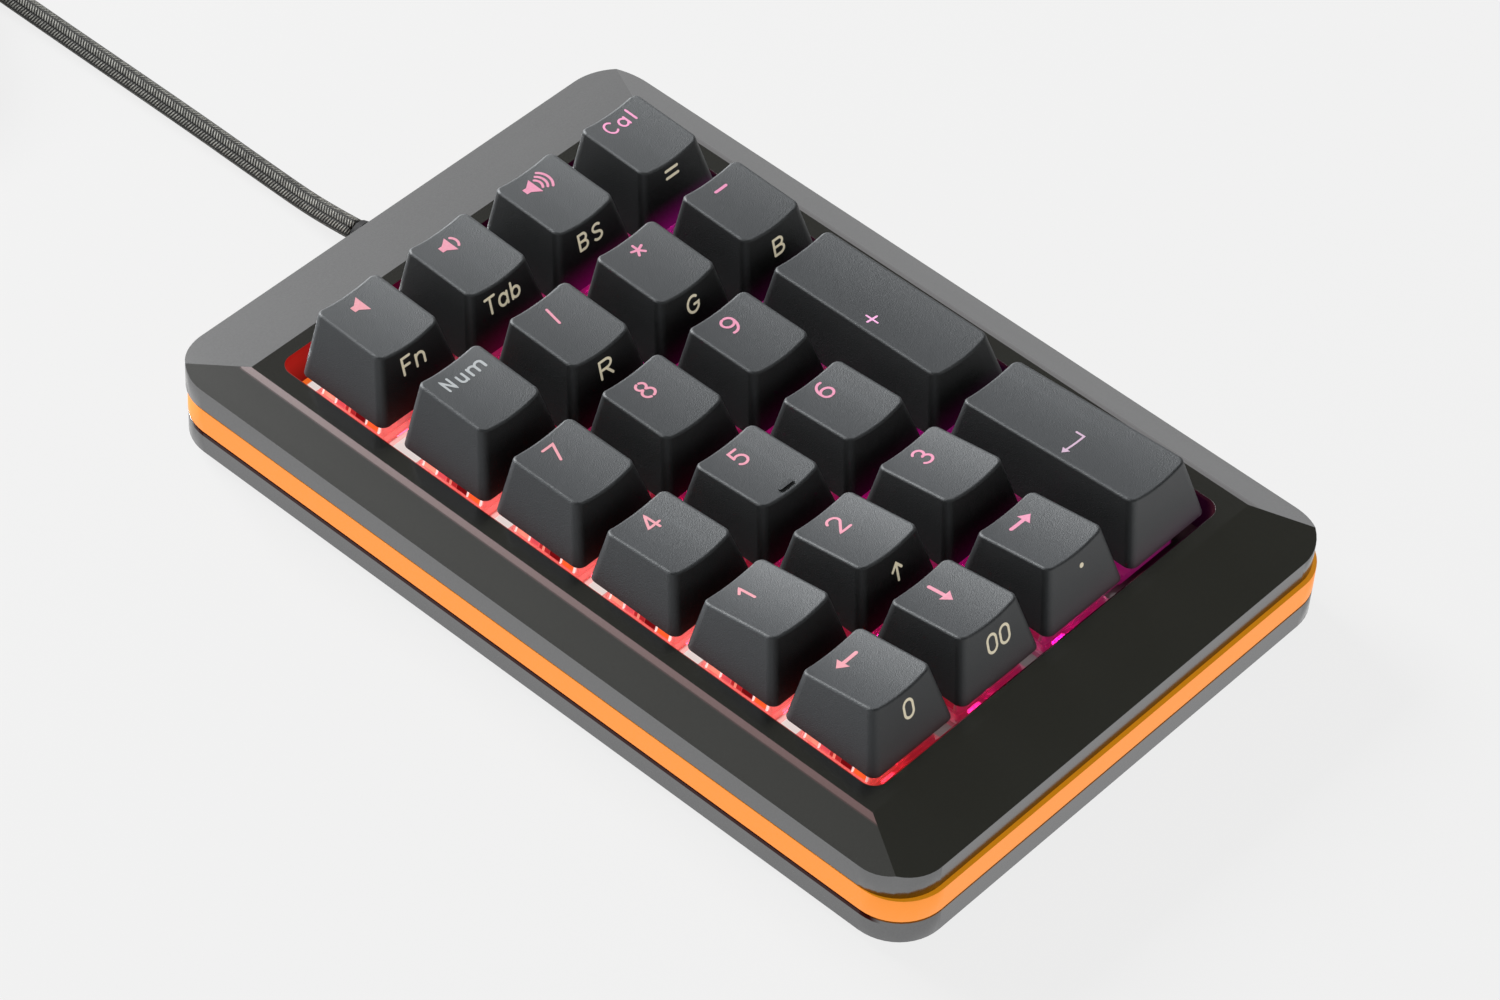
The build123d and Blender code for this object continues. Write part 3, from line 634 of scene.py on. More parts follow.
# Each sign is a list of strokes in a box from (0, 0) to (1, 1)
SIGNS = {
    "0": [arc(0.5, 0.68, 0.5, 0.32, 8, 172) + arc(0.5, 0.32, 0.5, 0.32, 188, 352) + [(1.0, 0.68)]],
    "1": [[(0.0, 0.72), (0.62, 1.0), (0.62, 0.0)]],
    "2": [arc(0.5, 0.72, 0.48, 0.28, 165, -35) + [(0.02, 0.0), (1.0, 0.0)]],
    "3": [arc(0.47, 0.75, 0.42, 0.25, 150, -90), arc(0.47, 0.27, 0.5, 0.27, 82, -150)],
    "4": [[(0.68, 0.0), (0.68, 1.0), (0.02, 0.26), (0.5, 0.26)], [(0.8, 0.26), (1.0, 0.26)]],
    "5": [[(0.92, 1.0), (0.2, 1.0), (0.12, 0.56)], arc(0.45, 0.32, 0.5, 0.32, 115, -145)],
    "6": [
        arc(0.72, 0.36, 0.69, 0.64, 78, 176) + arc(0.5, 0.3, 0.47, 0.3, 180, 262),
        arc(0.5, 0.3, 0.47, 0.3, 284, 515),
    ],
    "7": [[(0.0, 1.0), (1.0, 1.0), (0.35, 0.0)]],
    "8": [
        arc(0.5, 0.77, 0.4, 0.23, 108, 250),
        arc(0.5, 0.77, 0.4, 0.23, -70, 72),
        arc(0.5, 0.27, 0.5, 0.27, 110, 255),
        arc(0.5, 0.27, 0.5, 0.27, -75, 70),
    ],
    "C": [arc(0.55, 0.5, 0.5, 0.5, 48, 312, 20)],
    "a": [arc(0.48, 0.5, 0.48, 0.5, 35, 325, 18), [(1.0, 1.0), (1.0, 0.0)]],
    "l": [[(0.5, 0.0), (0.5, 1.0)]],
    "N": [[(0.0, 0.0), (0.0, 1.0), (1.0, 0.0), (1.0, 1.0)]],
    "u": [[(0.0, 1.0), (0.0, 0.45)] + arc(0.5, 0.4, 0.5, 0.4, 180, 340, 10), [(1.0, 1.0), (1.0, 0.0)]],
    "m": [
        [(0.0, 0.0), (0.0, 1.0)],
        arc(0.25, 0.62, 0.25, 0.38, 170, 0, 8) + [(0.5, 0.0)],
        arc(0.75, 0.62, 0.25, 0.38, 170, 0, 8) + [(1.0, 0.0)],
    ],
    "F": [[(0.0, 0.0), (0.0, 1.0), (1.0, 1.0)], [(0.0, 0.5), (0.85, 0.5)]],
    "n": [[(0.0, 0.0), (0.0, 1.0)], arc(0.5, 0.58, 0.5, 0.42, 165, 0, 10) + [(1.0, 0.0)]],
    "T": [[(0.0, 1.0), (1.0, 1.0)], [(0.5, 1.0), (0.5, 0.0)]],
    "b": [[(0.0, 1.0), (0.0, 0.0)], arc(0.5, 0.32, 0.5, 0.32, 150, -150, 18)],
    "B": [
        [(0.0, 0.0), (0.0, 1.0)] + arc(0.55, 0.76, 0.38, 0.24, 90, -90, 10) + [(0.12, 0.52)],
        arc(0.55, 0.26, 0.45, 0.26, 90, -90, 10) + [(0.12, 0.0)],
    ],
    "S": [arc(0.5, 0.76, 0.45, 0.24, 40, 250, 14) + arc(0.5, 0.25, 0.48, 0.25, 80, -140, 14)],
    "R": [
        [(0.0, 0.0), (0.0, 1.0)] + arc(0.55, 0.74, 0.43, 0.26, 90, -90, 10) + [(0.1, 0.48)],
        [(0.5, 0.48), (1.0, 0.0)],
    ],
    "G": [arc(0.52, 0.5, 0.5, 0.5, 50, 330, 20) + [(0.98, 0.46), (0.6, 0.46)]],
    "=": [[(0.0, 1.0), (1.0, 1.0)], [(0.0, 0.0), (1.0, 0.0)]],
    "/": [[(0.0, 0.0), (1.0, 1.0)]],
    "-": [[(0.0, 0.5), (1.0, 0.5)]],
    "+": [[(0.0, 0.5), (1.0, 0.5)], [(0.5, 0.0), (0.5, 1.0)]],
    ".": [[(0.45, 0.5), (0.55, 0.5)]],
    "^": [[(0.5, 0.0), (0.5, 0.98)], [(0.0, 0.62), (0.5, 1.0), (1.0, 0.62)]],
    "*": [[(0.5, 0.5), (0.5 + 0.5 * math.cos(t), 0.5 + 0.5 * math.sin(t))] for t in SPOKES],
}
SIGNS["9"] = [[(1 - u, 1 - v) for u, v in points] for points in SIGNS["6"]]

# Widths of the strokes, in mm, and how far a sign stands out of its face and is set in
BOLD, THIN, FRONT = 0.43, 0.36, 0.42
RISE, SHAFT_RISE, SINK = 0.035, 0.03, 0.25

# Signs on the cap tops: sign, its box from the key's centre as x, x, y, y, and stroke width, in mm
TOP_SIGNS = {
    "7": [("7", -1.35, 0.8, 3.05, 6.05, BOLD)],
    "8": [("8", -1.55, 0.65, 2.55, 5.75, BOLD)],
    "9": [("9", -1.5, 0.85, 2.95, 6.05, BOLD)],
    "4": [("4", -1.0, 1.25, 3.35, 6.45, BOLD)],
    "5": [("5", -1.15, 0.95, 3.15, 6.25, BOLD)],
    "6": [("6", -1.0, 1.3, 3.55, 6.65, BOLD)],
    "1": [("1", -1.25, 0.25, 3.15, 6.1, 0.46)],
    "2": [("2", -1.25, 0.95, 2.75, 6.05, BOLD)],
    "3": [("3", -0.95, 1.15, 3.05, 6.35, BOLD)],
    "calculator": [
        ("C", -2.95, -0.95, 4.25, 6.65, THIN),
        ("a", -0.15, 1.35, 4.25, 5.9, THIN),
        ("l", 2.35, 2.95, 4.25, 6.65, THIN),
    ],
    "num_lock": [
        ("N", -3.35, -1.95, 3.85, 6.05, 0.4),
        ("u", -0.65, 0.5, 3.85, 5.4, 0.4),
        ("m", 1.55, 4.15, 3.85, 5.4, 0.4),
    ],
    "divide": [("/", -0.4, 0.15, 2.65, 5.85, BOLD)],
    "multiply": [("*", -0.85, 1.45, 3.95, 6.25, BOLD)],
    "minus": [("-", -0.95, 1.35, 5.2, 5.7, 0.5)],
    "plus": [("+", -4.45, -2.25, -1.25, 0.95, THIN)],
}

# Signs on the front faces: heights are above the skirt
FRONT_SIGNS = {
    "mute": [("F", -2.35, -0.75, 6.0, 8.65, FRONT), ("n", 0.35, 2.0, 6.0, 7.9, FRONT)],
    "volume_down": [
        ("T", -3.7, -1.75, 6.0, 8.65, FRONT),
        ("a", -0.95, 0.75, 6.0, 7.9, FRONT),
        ("b", 1.75, 3.3, 6.0, 8.65, FRONT),
    ],
    "volume_up": [("B", -2.45, -0.75, 5.95, 8.5, FRONT), ("S", 0.55, 2.4, 5.95, 8.5, FRONT)],
    "calculator": [("=", -1.75, 0.75, 7.7, 8.9, 0.46)],
    "divide": [("R", -1.15, 1.25, 5.9, 8.65, FRONT)],
    "multiply": [("G", -1.05, 1.35, 6.0, 8.65, FRONT)],
    "minus": [("B", -0.75, 1.3, 5.5, 8.1, FRONT)],
    "2": [("^", -0.5, 1.45, 4.65, 7.5, FRONT)],
    "0": [("0", -0.6, 1.25, 5.2, 8.05, FRONT)],
    "00": [("0", -1.55, 0.3, 4.8, 7.7, FRONT), ("0", 1.2, 3.05, 4.8, 7.7, FRONT)],
    "point": [(".", 0.3, 0.7, 6.95, 7.35, 0.8)],
}

# Height of the top face's front and back edges above the skirt, by key, in mm
ROW_HEIGHTS = [
    (("mute", "volume_down", "volume_up", "calculator"), 10.8, 11.4),
    (("num_lock", "divide", "multiply", "minus"), 10.9, 11.4),
    (("7", "8", "9"), 9.6, 9.6),
    (("4", "5", "6"), 9.3, 8.3),
    (("1", "2", "3"), 10.5, 8.1),
    (("0", "00", "point"), 10.3, 8.1),
    (("plus",), 9.5, 9.3),
    (("enter",), 10.5, 8.3),
]
TOP_HALF, TOP_FRONT, TOP_BACK, DISH = 6.2, -5.5, 8.0, 0.8
DISH_RADIUS = (TOP_HALF ** 2 + DISH ** 2) / (2 * DISH)
cap_heights = {name: (front, back) for names, front, back in ROW_HEIGHTS for name in names}


class Cap:
    """Where a cap's top and front faces are, in mm from the key's centre and its skirt."""

    def __init__(self, name):
        low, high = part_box("keycap_" + name)
        self.centre = Vector(((low.x + high.x) / 2, (low.y + high.y) / 2, low.z))
        self.extra = ((high.y - low.y) - (high.x - low.x)) / 2 / MM
        self.front_height, self.back_height = cap_heights[name]
        self.skirt = self.extra + (high.x - low.x) / 2 / MM
        self.depth = TOP_BACK - TOP_FRONT + 2 * self.extra
        self.tilt = math.atan((self.back_height - self.front_height) / self.depth)

    def on_top(self, x, y, rise):
        share = (y - TOP_FRONT + self.extra) / self.depth
        height = self.front_height + share * (self.back_height - self.front_height)
        dip = DISH_RADIUS - DISH - math.sqrt(DISH_RADIUS ** 2 - x * x)
        return self.centre + Vector((x, y, height + dip / math.cos(self.tilt) + rise)) * MM

    def on_front(self, x, z, rise):
        run = self.skirt + TOP_FRONT - self.extra
        slope = math.atan2(run, self.front_height)
        y = -self.skirt + run * z / self.front_height
        return self.centre + Vector((x, y - rise * math.cos(slope), z + rise * math.sin(slope))) * MM


def resample(points, step):
    """The same line with points no further apart than the step."""
    fine = [points[0]]
    for first, second in zip(points, points[1:]):
        count = max(1, math.ceil(math.dist(first, second) / step))
        for i in range(1, count + 1):
            share = i / count
            fine.append(tuple(a + (b - a) * share for a, b in zip(first, second)))
    return fine


def stroke(bm, points, width, put, rise, sink):
    """A thin raised line with round ends along flat points; put(x, y, rise) gives a point on the cap."""
    points = resample(points, 0.25)
    least_cosine = 0.6  # so that a sharp corner doesn't reach too far
    half = width / 2
    left, right = [], []
    for index, (x, y) in enumerate(points):
        bx, by = points[max(index - 1, 0)]
        ax, ay = points[min(index + 1, len(points) - 1)]
        turn = math.atan2(ay - by, ax - bx)
        before = math.atan2(y - by, x - bx) if index else turn
        reach = half / max(math.cos(turn - before), least_cosine)
        left.append((x - math.sin(turn) * reach, y + math.cos(turn) * reach))
        right.append((x + math.sin(turn) * reach, y - math.cos(turn) * reach))
    first = math.atan2(points[1][1] - points[0][1], points[1][0] - points[0][0])
    last = math.atan2(points[-1][1] - points[-2][1], points[-1][0] - points[-2][0])
    start_cap = arc(*points[0], half, half, math.degrees(first) + 90, math.degrees(first) + 270, 6)[1:-1]
    end_cap = arc(*points[-1], half, half, math.degrees(last) - 90, math.degrees(last) + 90, 6)[1:-1]
    levels = []
    for level in (rise, -sink):
        outline_parts = (left, right, start_cap, end_cap)
        levels.append([[bm.verts.new(put(x, y, level)) for x, y in part] for part in outline_parts])
    for a, b, start, end in levels:
        for i in range(len(points) - 1):
            bm.faces.new((a[i], b[i], b[i + 1], a[i + 1]))
        bm.faces.new([a[0], *start, b[0]])
        bm.faces.new([b[-1], *end, a[-1]])
    loops = [[*a, *reversed(end), *reversed(b), *reversed(start)] for a, b, start, end in levels]
    strip(bm, loops[0], loops[1])


def fill(bm, points, put, rise, sink):
    """A thin raised shape from its flat outline."""
    outline = resample([*points, points[0]], 0.4)[:-1]
    loops = [[bm.verts.new(put(x, y, level)) for x, y in outline] for level in (rise, -sink)]
    for loop in loops:
        bm.faces.new(loop)
    strip(bm, loops[0], loops[1])


def sign(bm, mark, x0, x1, y0, y1, width, put):
    for points in SIGNS[mark]:
        stroke(bm, [(x0 + (x1 - x0) * u, y0 + (y1 - y0) * v) for u, v in points], width, put, RISE, SINK)


def speaker(bm, x0, x1, y0, y1, put):
    """A small box that widens into a cone."""
    middle = (y0 + y1) / 2
    box = 0.55
    neck = x0 + 0.35 * (x1 - x0)
    below = [(x0, middle - box), (neck, middle - box), (x1, y0)]
    above = [(x1, y1), (neck, middle + box), (x0, middle + box)]
    fill(bm, below + above, put, RISE, SINK)


def waves(bm, middle, radii, put):
    """Sound waves, each from its centre's x and its radius."""
    for cx, reach in radii:
        stroke(bm, arc(cx, middle, reach * 0.9, reach, -52, 52, 10), FRONT, put, RISE, SINK)


def arrow(bm, tail, tip, head, half, put, width=0.62):
    """A shaft with a filled head, straight along x or y."""
    dx, dy = tip[0] - tail[0], tip[1] - tail[1]
    length = math.hypot(dx, dy)
    ux, uy = dx / length, dy / length
    neck = (tip[0] - ux * head, tip[1] - uy * head)
    stroke(bm, [tail, (neck[0] + ux * 0.2, neck[1] + uy * 0.2)], width, put, SHAFT_RISE, SINK)
    one_side = (neck[0] - uy * half, neck[1] + ux * half)
    other_side = (neck[0] + uy * half, neck[1] - ux * half)
    fill(bm, [tip, one_side, other_side], put, RISE, SINK)


def painted_glow_legend():
    """Painted glow for light through the signs: salmon at the left and pink at the right."""
    material, tree, shader = new_material("lit_legend")
    share = spread(tree, object_place(tree)["X"], -0.036, 0.034, 0.0, 1.0)
    cloud = noise(tree, 2500.0, 2.0, 0.5)
    tint = mix(tree, share, (0.72, 0.30, 0.32, 1), (0.70, 0.23, 0.43, 1))
    tint = mix(tree, spread(tree, cloud, 0.3, 0.7, 0.0, 0.25), tint, (0.85, 0.50, 0.60, 1))
    tree.links.new(mix(tree, 0.7, tint, (0.02, 0.01, 0.015, 1)), shader.inputs["Base Color"])
    tree.links.new(tint, shader.inputs["Emission Color"])
    shader.inputs["Emission Strength"].default_value = 0.6
    shader.inputs["Roughness"].default_value = 0.6
    shader.inputs["Specular IOR Level"].default_value = 0.2
    return material


lit_legend = painted_glow_legend()
# Painted glows of the signs: dimmer on these keys, and on the printed front signs as well
grey_legend = legend_material("grey_legend", (0.25, 0.265, 0.275), 0.3)
DIM_LEGENDS = {
    "num_lock": grey_legend,
    "plus": legend_material("rose_legend", (0.50, 0.24, 0.40), 0.4),
    "calculator": legend_material("dusty_legend", (0.50, 0.20, 0.33), 0.34),
    "enter": legend_material("violet_legend", (0.34, 0.24, 0.32), 0.28),
}
front_legend = legend_material("front_legend", (0.52, 0.47, 0.35), 0.6)


def finish_legend(bm, name, material, key):
    add_piece(name, mesh_from(bm, name), material, "key_" + key, smooth=False)


# Arrows on the cap tops: tail and tip, in mm from the key's centre
ARROWS = {
    "0": ((2.1, 4.95), (-2.2, 4.95)),
    "00": ((0.25, 6.1), (0.25, 1.6)),
    "point": ((-1.9, 4.95), (2.5, 4.95)),
}


def draw_symbol(bm, name, put):
    """The signs that aren't characters: speakers, arrows and the return arrow."""
    if name == "mute":
        speaker(bm, -1.4, 0.8, 3.3, 6.6, put)
    if name == "volume_down":
        speaker(bm, -2.0, 0.25, 3.2, 6.3, put)
        waves(bm, 4.75, [(0.25, 1.25)], put)
    if name == "volume_up":
        speaker(bm, -2.8, -0.4, 3.1, 6.3, put)
        waves(bm, 4.7, [(-0.45, 1.2), (-0.1, 1.75), (0.3, 2.3)], put)
    if name in ARROWS:
        tail, tip = ARROWS[name]
        arrow(bm, tail, tip, 1.6, 1.2, put)
    if name == "enter":
        stroke(bm, [(0.5, 1.0), (0.5, -0.45), (-3.6, -0.45)], 0.34, put, SHAFT_RISE, SINK)
        fill(bm, [(-4.8, -0.45), (-3.6, 0.25), (-3.6, -1.15)], put, RISE, SINK)


def label_key(name):
    cap = Cap(name)
    bm = bmesh.new()
    for mark, x0, x1, y0, y1, width in TOP_SIGNS.get(name, []):
        sign(bm, mark, x0, x1, y0, y1, width, cap.on_top)
    draw_symbol(bm, name, cap.on_top)
    finish_legend(bm, "sign_" + name, DIM_LEGENDS.get(name, lit_legend), name)
    if name in FRONT_SIGNS:
        bm = bmesh.new()
        for mark, x0, x1, z0, z1, width in FRONT_SIGNS[name]:
            sign(bm, mark, x0, x1, z0, z1, width, cap.on_front)
        finish_legend(bm, "front_sign_" + name, front_legend, name)


for key in cap_heights:
    label_key(key)


# ---------- key lights, over the diodes on the board
LENS_OFFSET, LENS_BASE = 4.9 * MM, 6.77 * MM  # in front of the key's centre, and over the feet


def key_lights():
    bm = bmesh.new()
    for name in cap_heights:
        centre = Cap(name).centre
        place = Vector((centre.x, centre.y - LENS_OFFSET, LENS_BASE))
        outline = rounded_outline(1.3, -0.65, 0.65, 0.3, 3, 2)
        rings = []
        for level, size in ((-0.1, 1.0), (0.25, 1.0), (0.45, 0.8)):
            ring = [bm.verts.new(place + Vector((x * size, y * size, level)) * MM) for x, y in outline]
            rings.append(ring)
        strip(bm, rings[0], rings[1])
        strip(bm, rings[1], rings[2])
        bm.faces.new(rings[2])
        bm.faces.new(list(reversed(rings[0])))
    return mesh_from(bm, "key_light_lenses")


add_piece("key_light_lenses", key_lights(), light_material(), "case")

# ---------- return springs, pressed together by their keys
SPRING_WIRE, SPRING_RADIUS, SPRING_PITCH = 0.15 * MM, 2.0 * MM, 1.35 * MM
STEPS = 24  # points of a spring's line in one turn
spring_low, spring_high = (corner.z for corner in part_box("switch_springs"))


def spring_mesh(centre, name):
    """A wire coil that stands on the floor of its housing."""
    turns = (spring_high - spring_low - 2 * SPRING_WIRE) / SPRING_PITCH
    places = []
    for step in range(round(turns * STEPS) + 1):
        rise = spring_low + SPRING_WIRE + SPRING_PITCH * step / STEPS
        places.append(round_place(centre, SPRING_RADIUS, 360.0 * step / STEPS, rise))
    return tube_mesh(places, SPRING_WIRE, name, 8)


def add_spring(name):
    centre = Cap(name).centre
    spring = add_piece("spring_" + name, spring_mesh(centre, "spring_" + name), steel, "case")
    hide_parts("switch_springs")
    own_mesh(spring)


for key in cap_heights:
    add_spring(key)

# ---------- ribs and windows on the clear housings, with painted glow and painted glints
WALL_LOW = 12.65 * MM  # the upper housing's sloping walls
WALL_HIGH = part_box("switch_housings")[1].z
LOW_HALF, HIGH_HALF_X, HIGH_HALF_Y = 6.8 * MM, 5.4 * MM, 4.9 * MM
DETAIL_LOW, WINDOW_HIGH, RIB_HIGH = 12.9 * MM, 15.8 * MM, 15.2 * MM
SET_IN = 0.3 * MM
# From the switch's centre, along its side wall: from, to, proud (in mm), and which finish; the finishes are
# painted glows, and the glint ribs are painted highlights
WALL_DETAILS = [
    (5.75, 6.0, 0.22, "glint"),
    (3.3, 5.7, 0.10, "peach"),
    (3.05, 3.25, 0.22, "glint"),
    (1.3, 2.9, 0.06, "pink"),
    (-0.9, 1.1, 0.05, "red"),
    (0.1, 0.5, 0.12, "peach"),
    (-3.0, -1.0, 0.08, "dark"),
    (-3.35, -3.15, 0.22, "glint"),
    (-5.7, -3.5, 0.10, "orange"),
    (-6.1, -5.8, 0.22, "glint"),
]


def wall_block(bm, centre, side, along, to, proud, low, high):
    """A low block on one side wall of a switch, set a little into it."""
    places = []
    for z in (low, high):
        share = (z - WALL_LOW) / (WALL_HIGH - WALL_LOW)
        half = LOW_HALF + (HIGH_HALF_X - LOW_HALF) * share
        limit = LOW_HALF + (HIGH_HALF_Y - LOW_HALF) * share
        for y in (along, to):
            reach = max(min(y, limit), -limit)
            places += [(side * (half - SET_IN), reach, z), (side * (half + proud), reach, z)]
    spots = [bm.verts.new(Vector(place) + Vector((centre.x, centre.y, 0))) for place in places]
    for face in ((0, 1, 3, 2), (4, 6, 7, 5), (0, 4, 5, 1), (2, 3, 7, 6), (0, 2, 6, 4), (1, 5, 7, 3)):
        bm.faces.new([spots[i] for i in face])


# Painted light of each kind of block: glowing windows, and glint ribs as painted highlights
DETAIL_FINISHES = {
    "peach": painted_glow_detail("peach_window", (0.92, 0.30, 0.22), 0.9),
    "orange": painted_glow_detail("orange_window", (0.93, 0.13, 0.03), 0.95),
    "pink": painted_glow_detail("pink_window", (0.80, 0.10, 0.12), 0.8),
    "red": painted_glow_detail("red_window", (0.50, 0.03, 0.035), 0.7),
    "dark": painted_glow_detail("dark_window", (0.20, 0.004, 0.007), 0.6),
    "glint": painted_glow_detail("painted_glint_rib", (0.95, 0.85, 0.82), 0.85),
}


def add_details(kind):
    """All the blocks of one finish, on both sides of every switch, as one piece."""
    bm = bmesh.new()
    high = RIB_HIGH if kind == "glint" else WINDOW_HIGH
    blocks = [(start, end, proud) for start, end, proud, which in WALL_DETAILS if which == kind]
    for name in cap_heights:
        centre = Cap(name).centre
        for start, end, proud in blocks:
            for side in (-1, 1):
                wall_block(bm, centre, side, start * MM, end * MM, proud * MM, DETAIL_LOW, high)
    bmesh.ops.recalc_face_normals(bm, faces=bm.faces)
    mesh = bpy.data.meshes.new("housing_" + kind)
    bm.to_mesh(mesh)
    bm.free()
    add_piece("housing_" + kind, mesh, DETAIL_FINISHES[kind], "case", smooth=False)


for kind in DETAIL_FINISHES:
    add_details(kind)


# ---------- painted light and shade on the CAD parts
def paint_plate_light_and_shade(material):
    """Painted light and shade on the plate: a painted glow along the left column, orange at its back edge,
    and a painted shade, near black, under the front keys.
    """
    tree, shader = nodes_of(material)
    place = object_place(tree)
    back_corner = spread(tree, place["Y"], 0.0587, 0.0589, 0.0, 1.0)
    colour = mix(tree, back_corner, (0.95, 0.90, 0.86, 1), (1.0, 0.16, 0.0, 1))
    tree.links.new(colour, shader.inputs["Emission Color"])
    front_edge = spread(tree, place["Y"], -0.0575, -0.0565, 0.0, 1.0)
    left_part = spread(tree, place["X"], 0.020, 0.026, 1.0, 0.0)
    right_front = spread(tree, place["Y"], -0.0545, -0.0530, 0.0, 1.0)
    shown = multiply(tree, front_edge, calculate(tree, "MAXIMUM", left_part, right_front))
    tint = mix(tree, shown, (0.02, 0.004, 0.008, 1), (0.26, 0.25, 0.25, 1))
    tree.links.new(tint, shader.inputs["Base Color"])
    tree.links.new(painted_left_glow(tree, 0.72, 0.0), shader.inputs["Emission Strength"])


def paint_opening_shade_and_glow(material):
    """Painted shade on the wall inside the opening for the keys, coloured near black, with a painted
    backlight glow on it.
    """
    tree, shader = nodes_of(material)
    base = shader.inputs["Base Color"].links[0].from_socket
    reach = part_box("switch_plate")[1]
    place = object_place(tree)
    upright = calculate(tree, "ABSOLUTE", facing(tree)["Z"])
    share = spread(tree, upright, 0.86, 0.95, 1.0, 0.0)
    for axis, edge in (("X", reach.x), ("Y", reach.y)):
        offset = calculate(tree, "ABSOLUTE", place[axis])
        share = multiply(tree, share, spread(tree, offset, edge + 1.0 * MM, edge + 1.4 * MM, 1.0, 0.0))
    tree.links.new(mix(tree, share, base, (0.02, 0.004, 0.004, 1)), shader.inputs["Base Color"])
    tree.links.new(spread(tree, share, 0.0, 1.0, SATIN, 0.9), shader.inputs["Roughness"])
    glow = spread(tree, place["Z"], 0.0107, 0.0155, 0.16, 0.32)
    glow = multiply(tree, glow, spread(tree, place["X"], -0.036, -0.010, 1.0, 0.04))
    tree.links.new(glow_colour(tree), shader.inputs["Emission Color"])
    tree.links.new(multiply(tree, share, glow), shader.inputs["Emission Strength"])


def paint_seam_shadow(material):
    """A painted shadow on the bottom case under the orange band, along the left side."""
    tree, shader = nodes_of(material)
    base = shader.inputs["Base Color"].links[0].from_socket
    band_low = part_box("light_frame")[0].z
    place = object_place(tree)
    near = spread(tree, place["Z"], band_low - 0.75 * MM, band_low - 0.68 * MM, 0.0, 1.0)
    left = spread(tree, place["X"], -0.0489, -0.0484, 1.0, 0.0)
    tint = mix(tree, multiply(tree, near, left), base, (0.03, 0.002, 0.002, 1))
    tree.links.new(tint, shader.inputs["Base Color"])


# ---------- finishes of the CAD parts
clear = clear_plastic()
bottom_metal = grained("bottom_metal", ANODISED, SATIN, 1.0, grain=0.00035, relief=0.2)
paint_plate_light_and_shade(plate_paint)
paint_opening_shade_and_glow(case_metal)
paint_seam_shadow(bottom_metal)
FINISHES = {
    "top_case": case_metal,
    "bottom_case": bottom_metal,
    "light_frame": orange_metal,
    "case_screws": black_steel,
    "rubber_feet": rubber,
    "switch_plate": plate_paint,
    "switch_housings": clear,
    "switch_springs": steel,
    "stabilizer_housings": clear,
    "circuit_board": solder_mask,
    "usb_cable_plug": plug_plastic,
    "usb_host_plug": plug_plastic,
    "stabilizer_wire_plus": steel,
    "stabilizer_wire_enter": steel,
}
for name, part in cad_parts.items():
    if name.startswith("keycap_"):
        finish = cap_plastic
    elif name.startswith("stem_"):
        finish = stem_plastic
    else:
        finish = FINISHES.get(name, dark_plastic)
    part.data.materials.clear()
    part.data.materials.append(finish)


def second_finish(name, finish, inside):
    """Gives another finish to the faces of a CAD part whose middle is inside a range of y."""
    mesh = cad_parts[name].data
    mesh.materials.append(finish)
    for polygon in mesh.polygons:
        if inside[0] < polygon.center.y < inside[1]:
            polygon.material_index = 1


HOST_SHELL, CASE_SHELL = 24.05 * MM, 6.6 * MM  # where each plug's steel shell begins or ends
second_finish("usb_host_plug", steel, (plug_low.y + HOST_SHELL, 1.0))
second_finish("usb_cable_plug", steel, (-1.0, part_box("usb_cable_plug")[0].y + CASE_SHELL))


def soften_edges(name, width):
    """Rounds the sharp edges of a CAD part by modifiers, after its flat faces are joined."""
    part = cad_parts[name]
    weld = part.modifiers.new("weld", "WELD")
    weld.merge_threshold = 1e-6
    flat = part.modifiers.new("flat", "DECIMATE")
    flat.decimate_type = "DISSOLVE"
    flat.angle_limit = math.radians(0.6)
    round_off = part.modifiers.new("round_off", "BEVEL")
    round_off.width = width
    round_off.segments = 2
    round_off.limit_method = "ANGLE"
    round_off.angle_limit = math.radians(25)
    round_off.harden_normals = True


for shell in ("top_case", "bottom_case", "light_frame"):
    soften_edges(shell, 0.11 * MM)


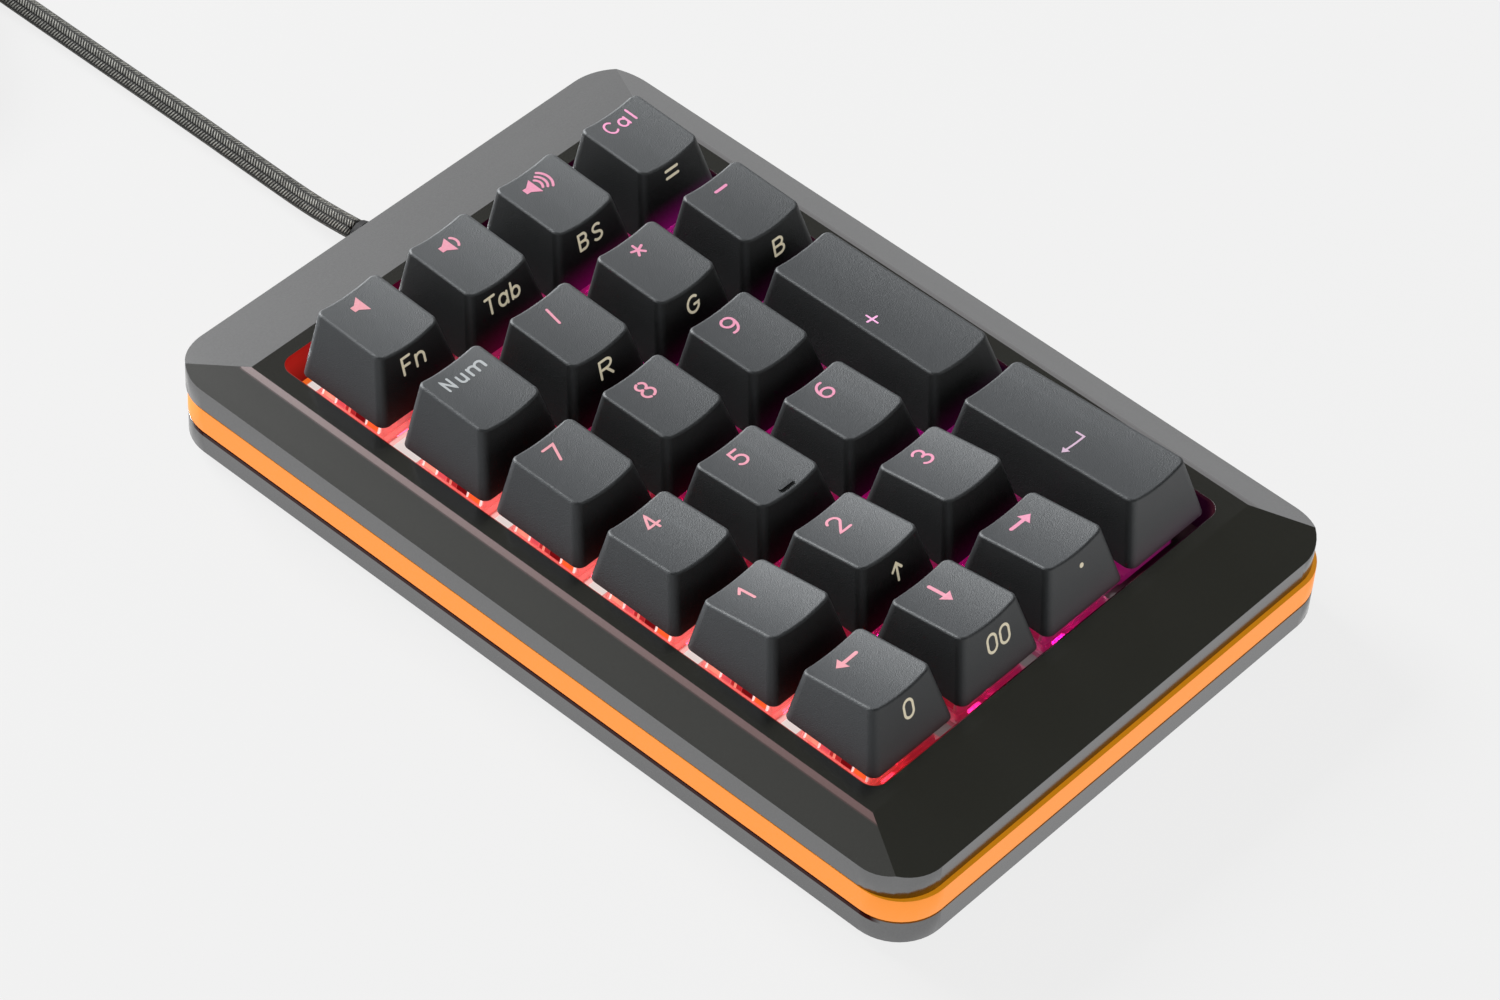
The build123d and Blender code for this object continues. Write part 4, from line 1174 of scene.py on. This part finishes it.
# ---------- floor and light
def make_floor():
    half, height = 3.0, -0.1 * MM  # just under the feet
    mesh = bpy.data.meshes.new("floor")
    corners = [(-half, -half, height), (half, -half, height), (half, half, height), (-half, half, height)]
    mesh.from_pydata(corners, [], [(0, 1, 2, 3)])
    floor = bpy.data.objects.new("floor", mesh)
    bpy.context.scene.collection.objects.link(floor)
    material, _, shader = new_material("floor_paint")
    shader.inputs["Base Color"].default_value = (0.03, 0.03, 0.03, 1)
    shader.inputs["Roughness"].default_value = 1.0
    shader.inputs["Specular IOR Level"].default_value = 0.0
    shader.inputs["Emission Color"].default_value = (1, 1, 1, 1)
    shader.inputs["Emission Strength"].default_value = 0.825
    mesh.materials.append(material)


def make_sky():
    """A bright band round the horizon, a dark sky above it, and a soft patch high at the back."""
    world = bpy.data.worlds.new("studio")
    bpy.context.scene.world = world
    world.use_nodes = True
    tree = world.node_tree
    aim = node(tree, "ShaderNodeTexCoord").outputs["Generated"]
    height = node(tree, "ShaderNodeSeparateXYZ", {"Vector": aim}).outputs["Z"]
    upper = spread(tree, height, 0.48, 0.62, 0.0, 1.0)
    sky = mix(tree, upper, (0.95, 0.95, 0.95, 1), (0.110, 0.110, 0.090, 1))
    patch = node(tree, "ShaderNodeVectorMath", {0: aim, 1: (-0.10, 0.45, 0.887)}, operation="DOT_PRODUCT")
    near_patch = spread(tree, patch.outputs["Value"], 0.93, 0.985, 0.0, 1.0)
    sky = mix(tree, near_patch, sky, (0.20, 0.20, 0.18, 1))
    tree.links.new(sky, tree.nodes["Background"].inputs["Color"])
    tree.nodes["Background"].inputs["Strength"].default_value = 1.0


def make_lamp(place):
    """A wide soft lamp behind the object, aimed at it."""
    data = bpy.data.lights.new("overhead", "AREA")
    data.shape = "RECTANGLE"
    data.size = 0.8
    data.size_y = 0.42
    data.energy = 80.0
    lamp = bpy.data.objects.new("overhead", data)
    bpy.context.scene.collection.objects.link(lamp)
    lamp.matrix_world = Matrix.Translation(place) @ (-place).to_track_quat("-Z", "Y").to_matrix().to_4x4()


make_floor()
make_sky()
make_lamp(Vector((0.0, 1.39, 0.80)))
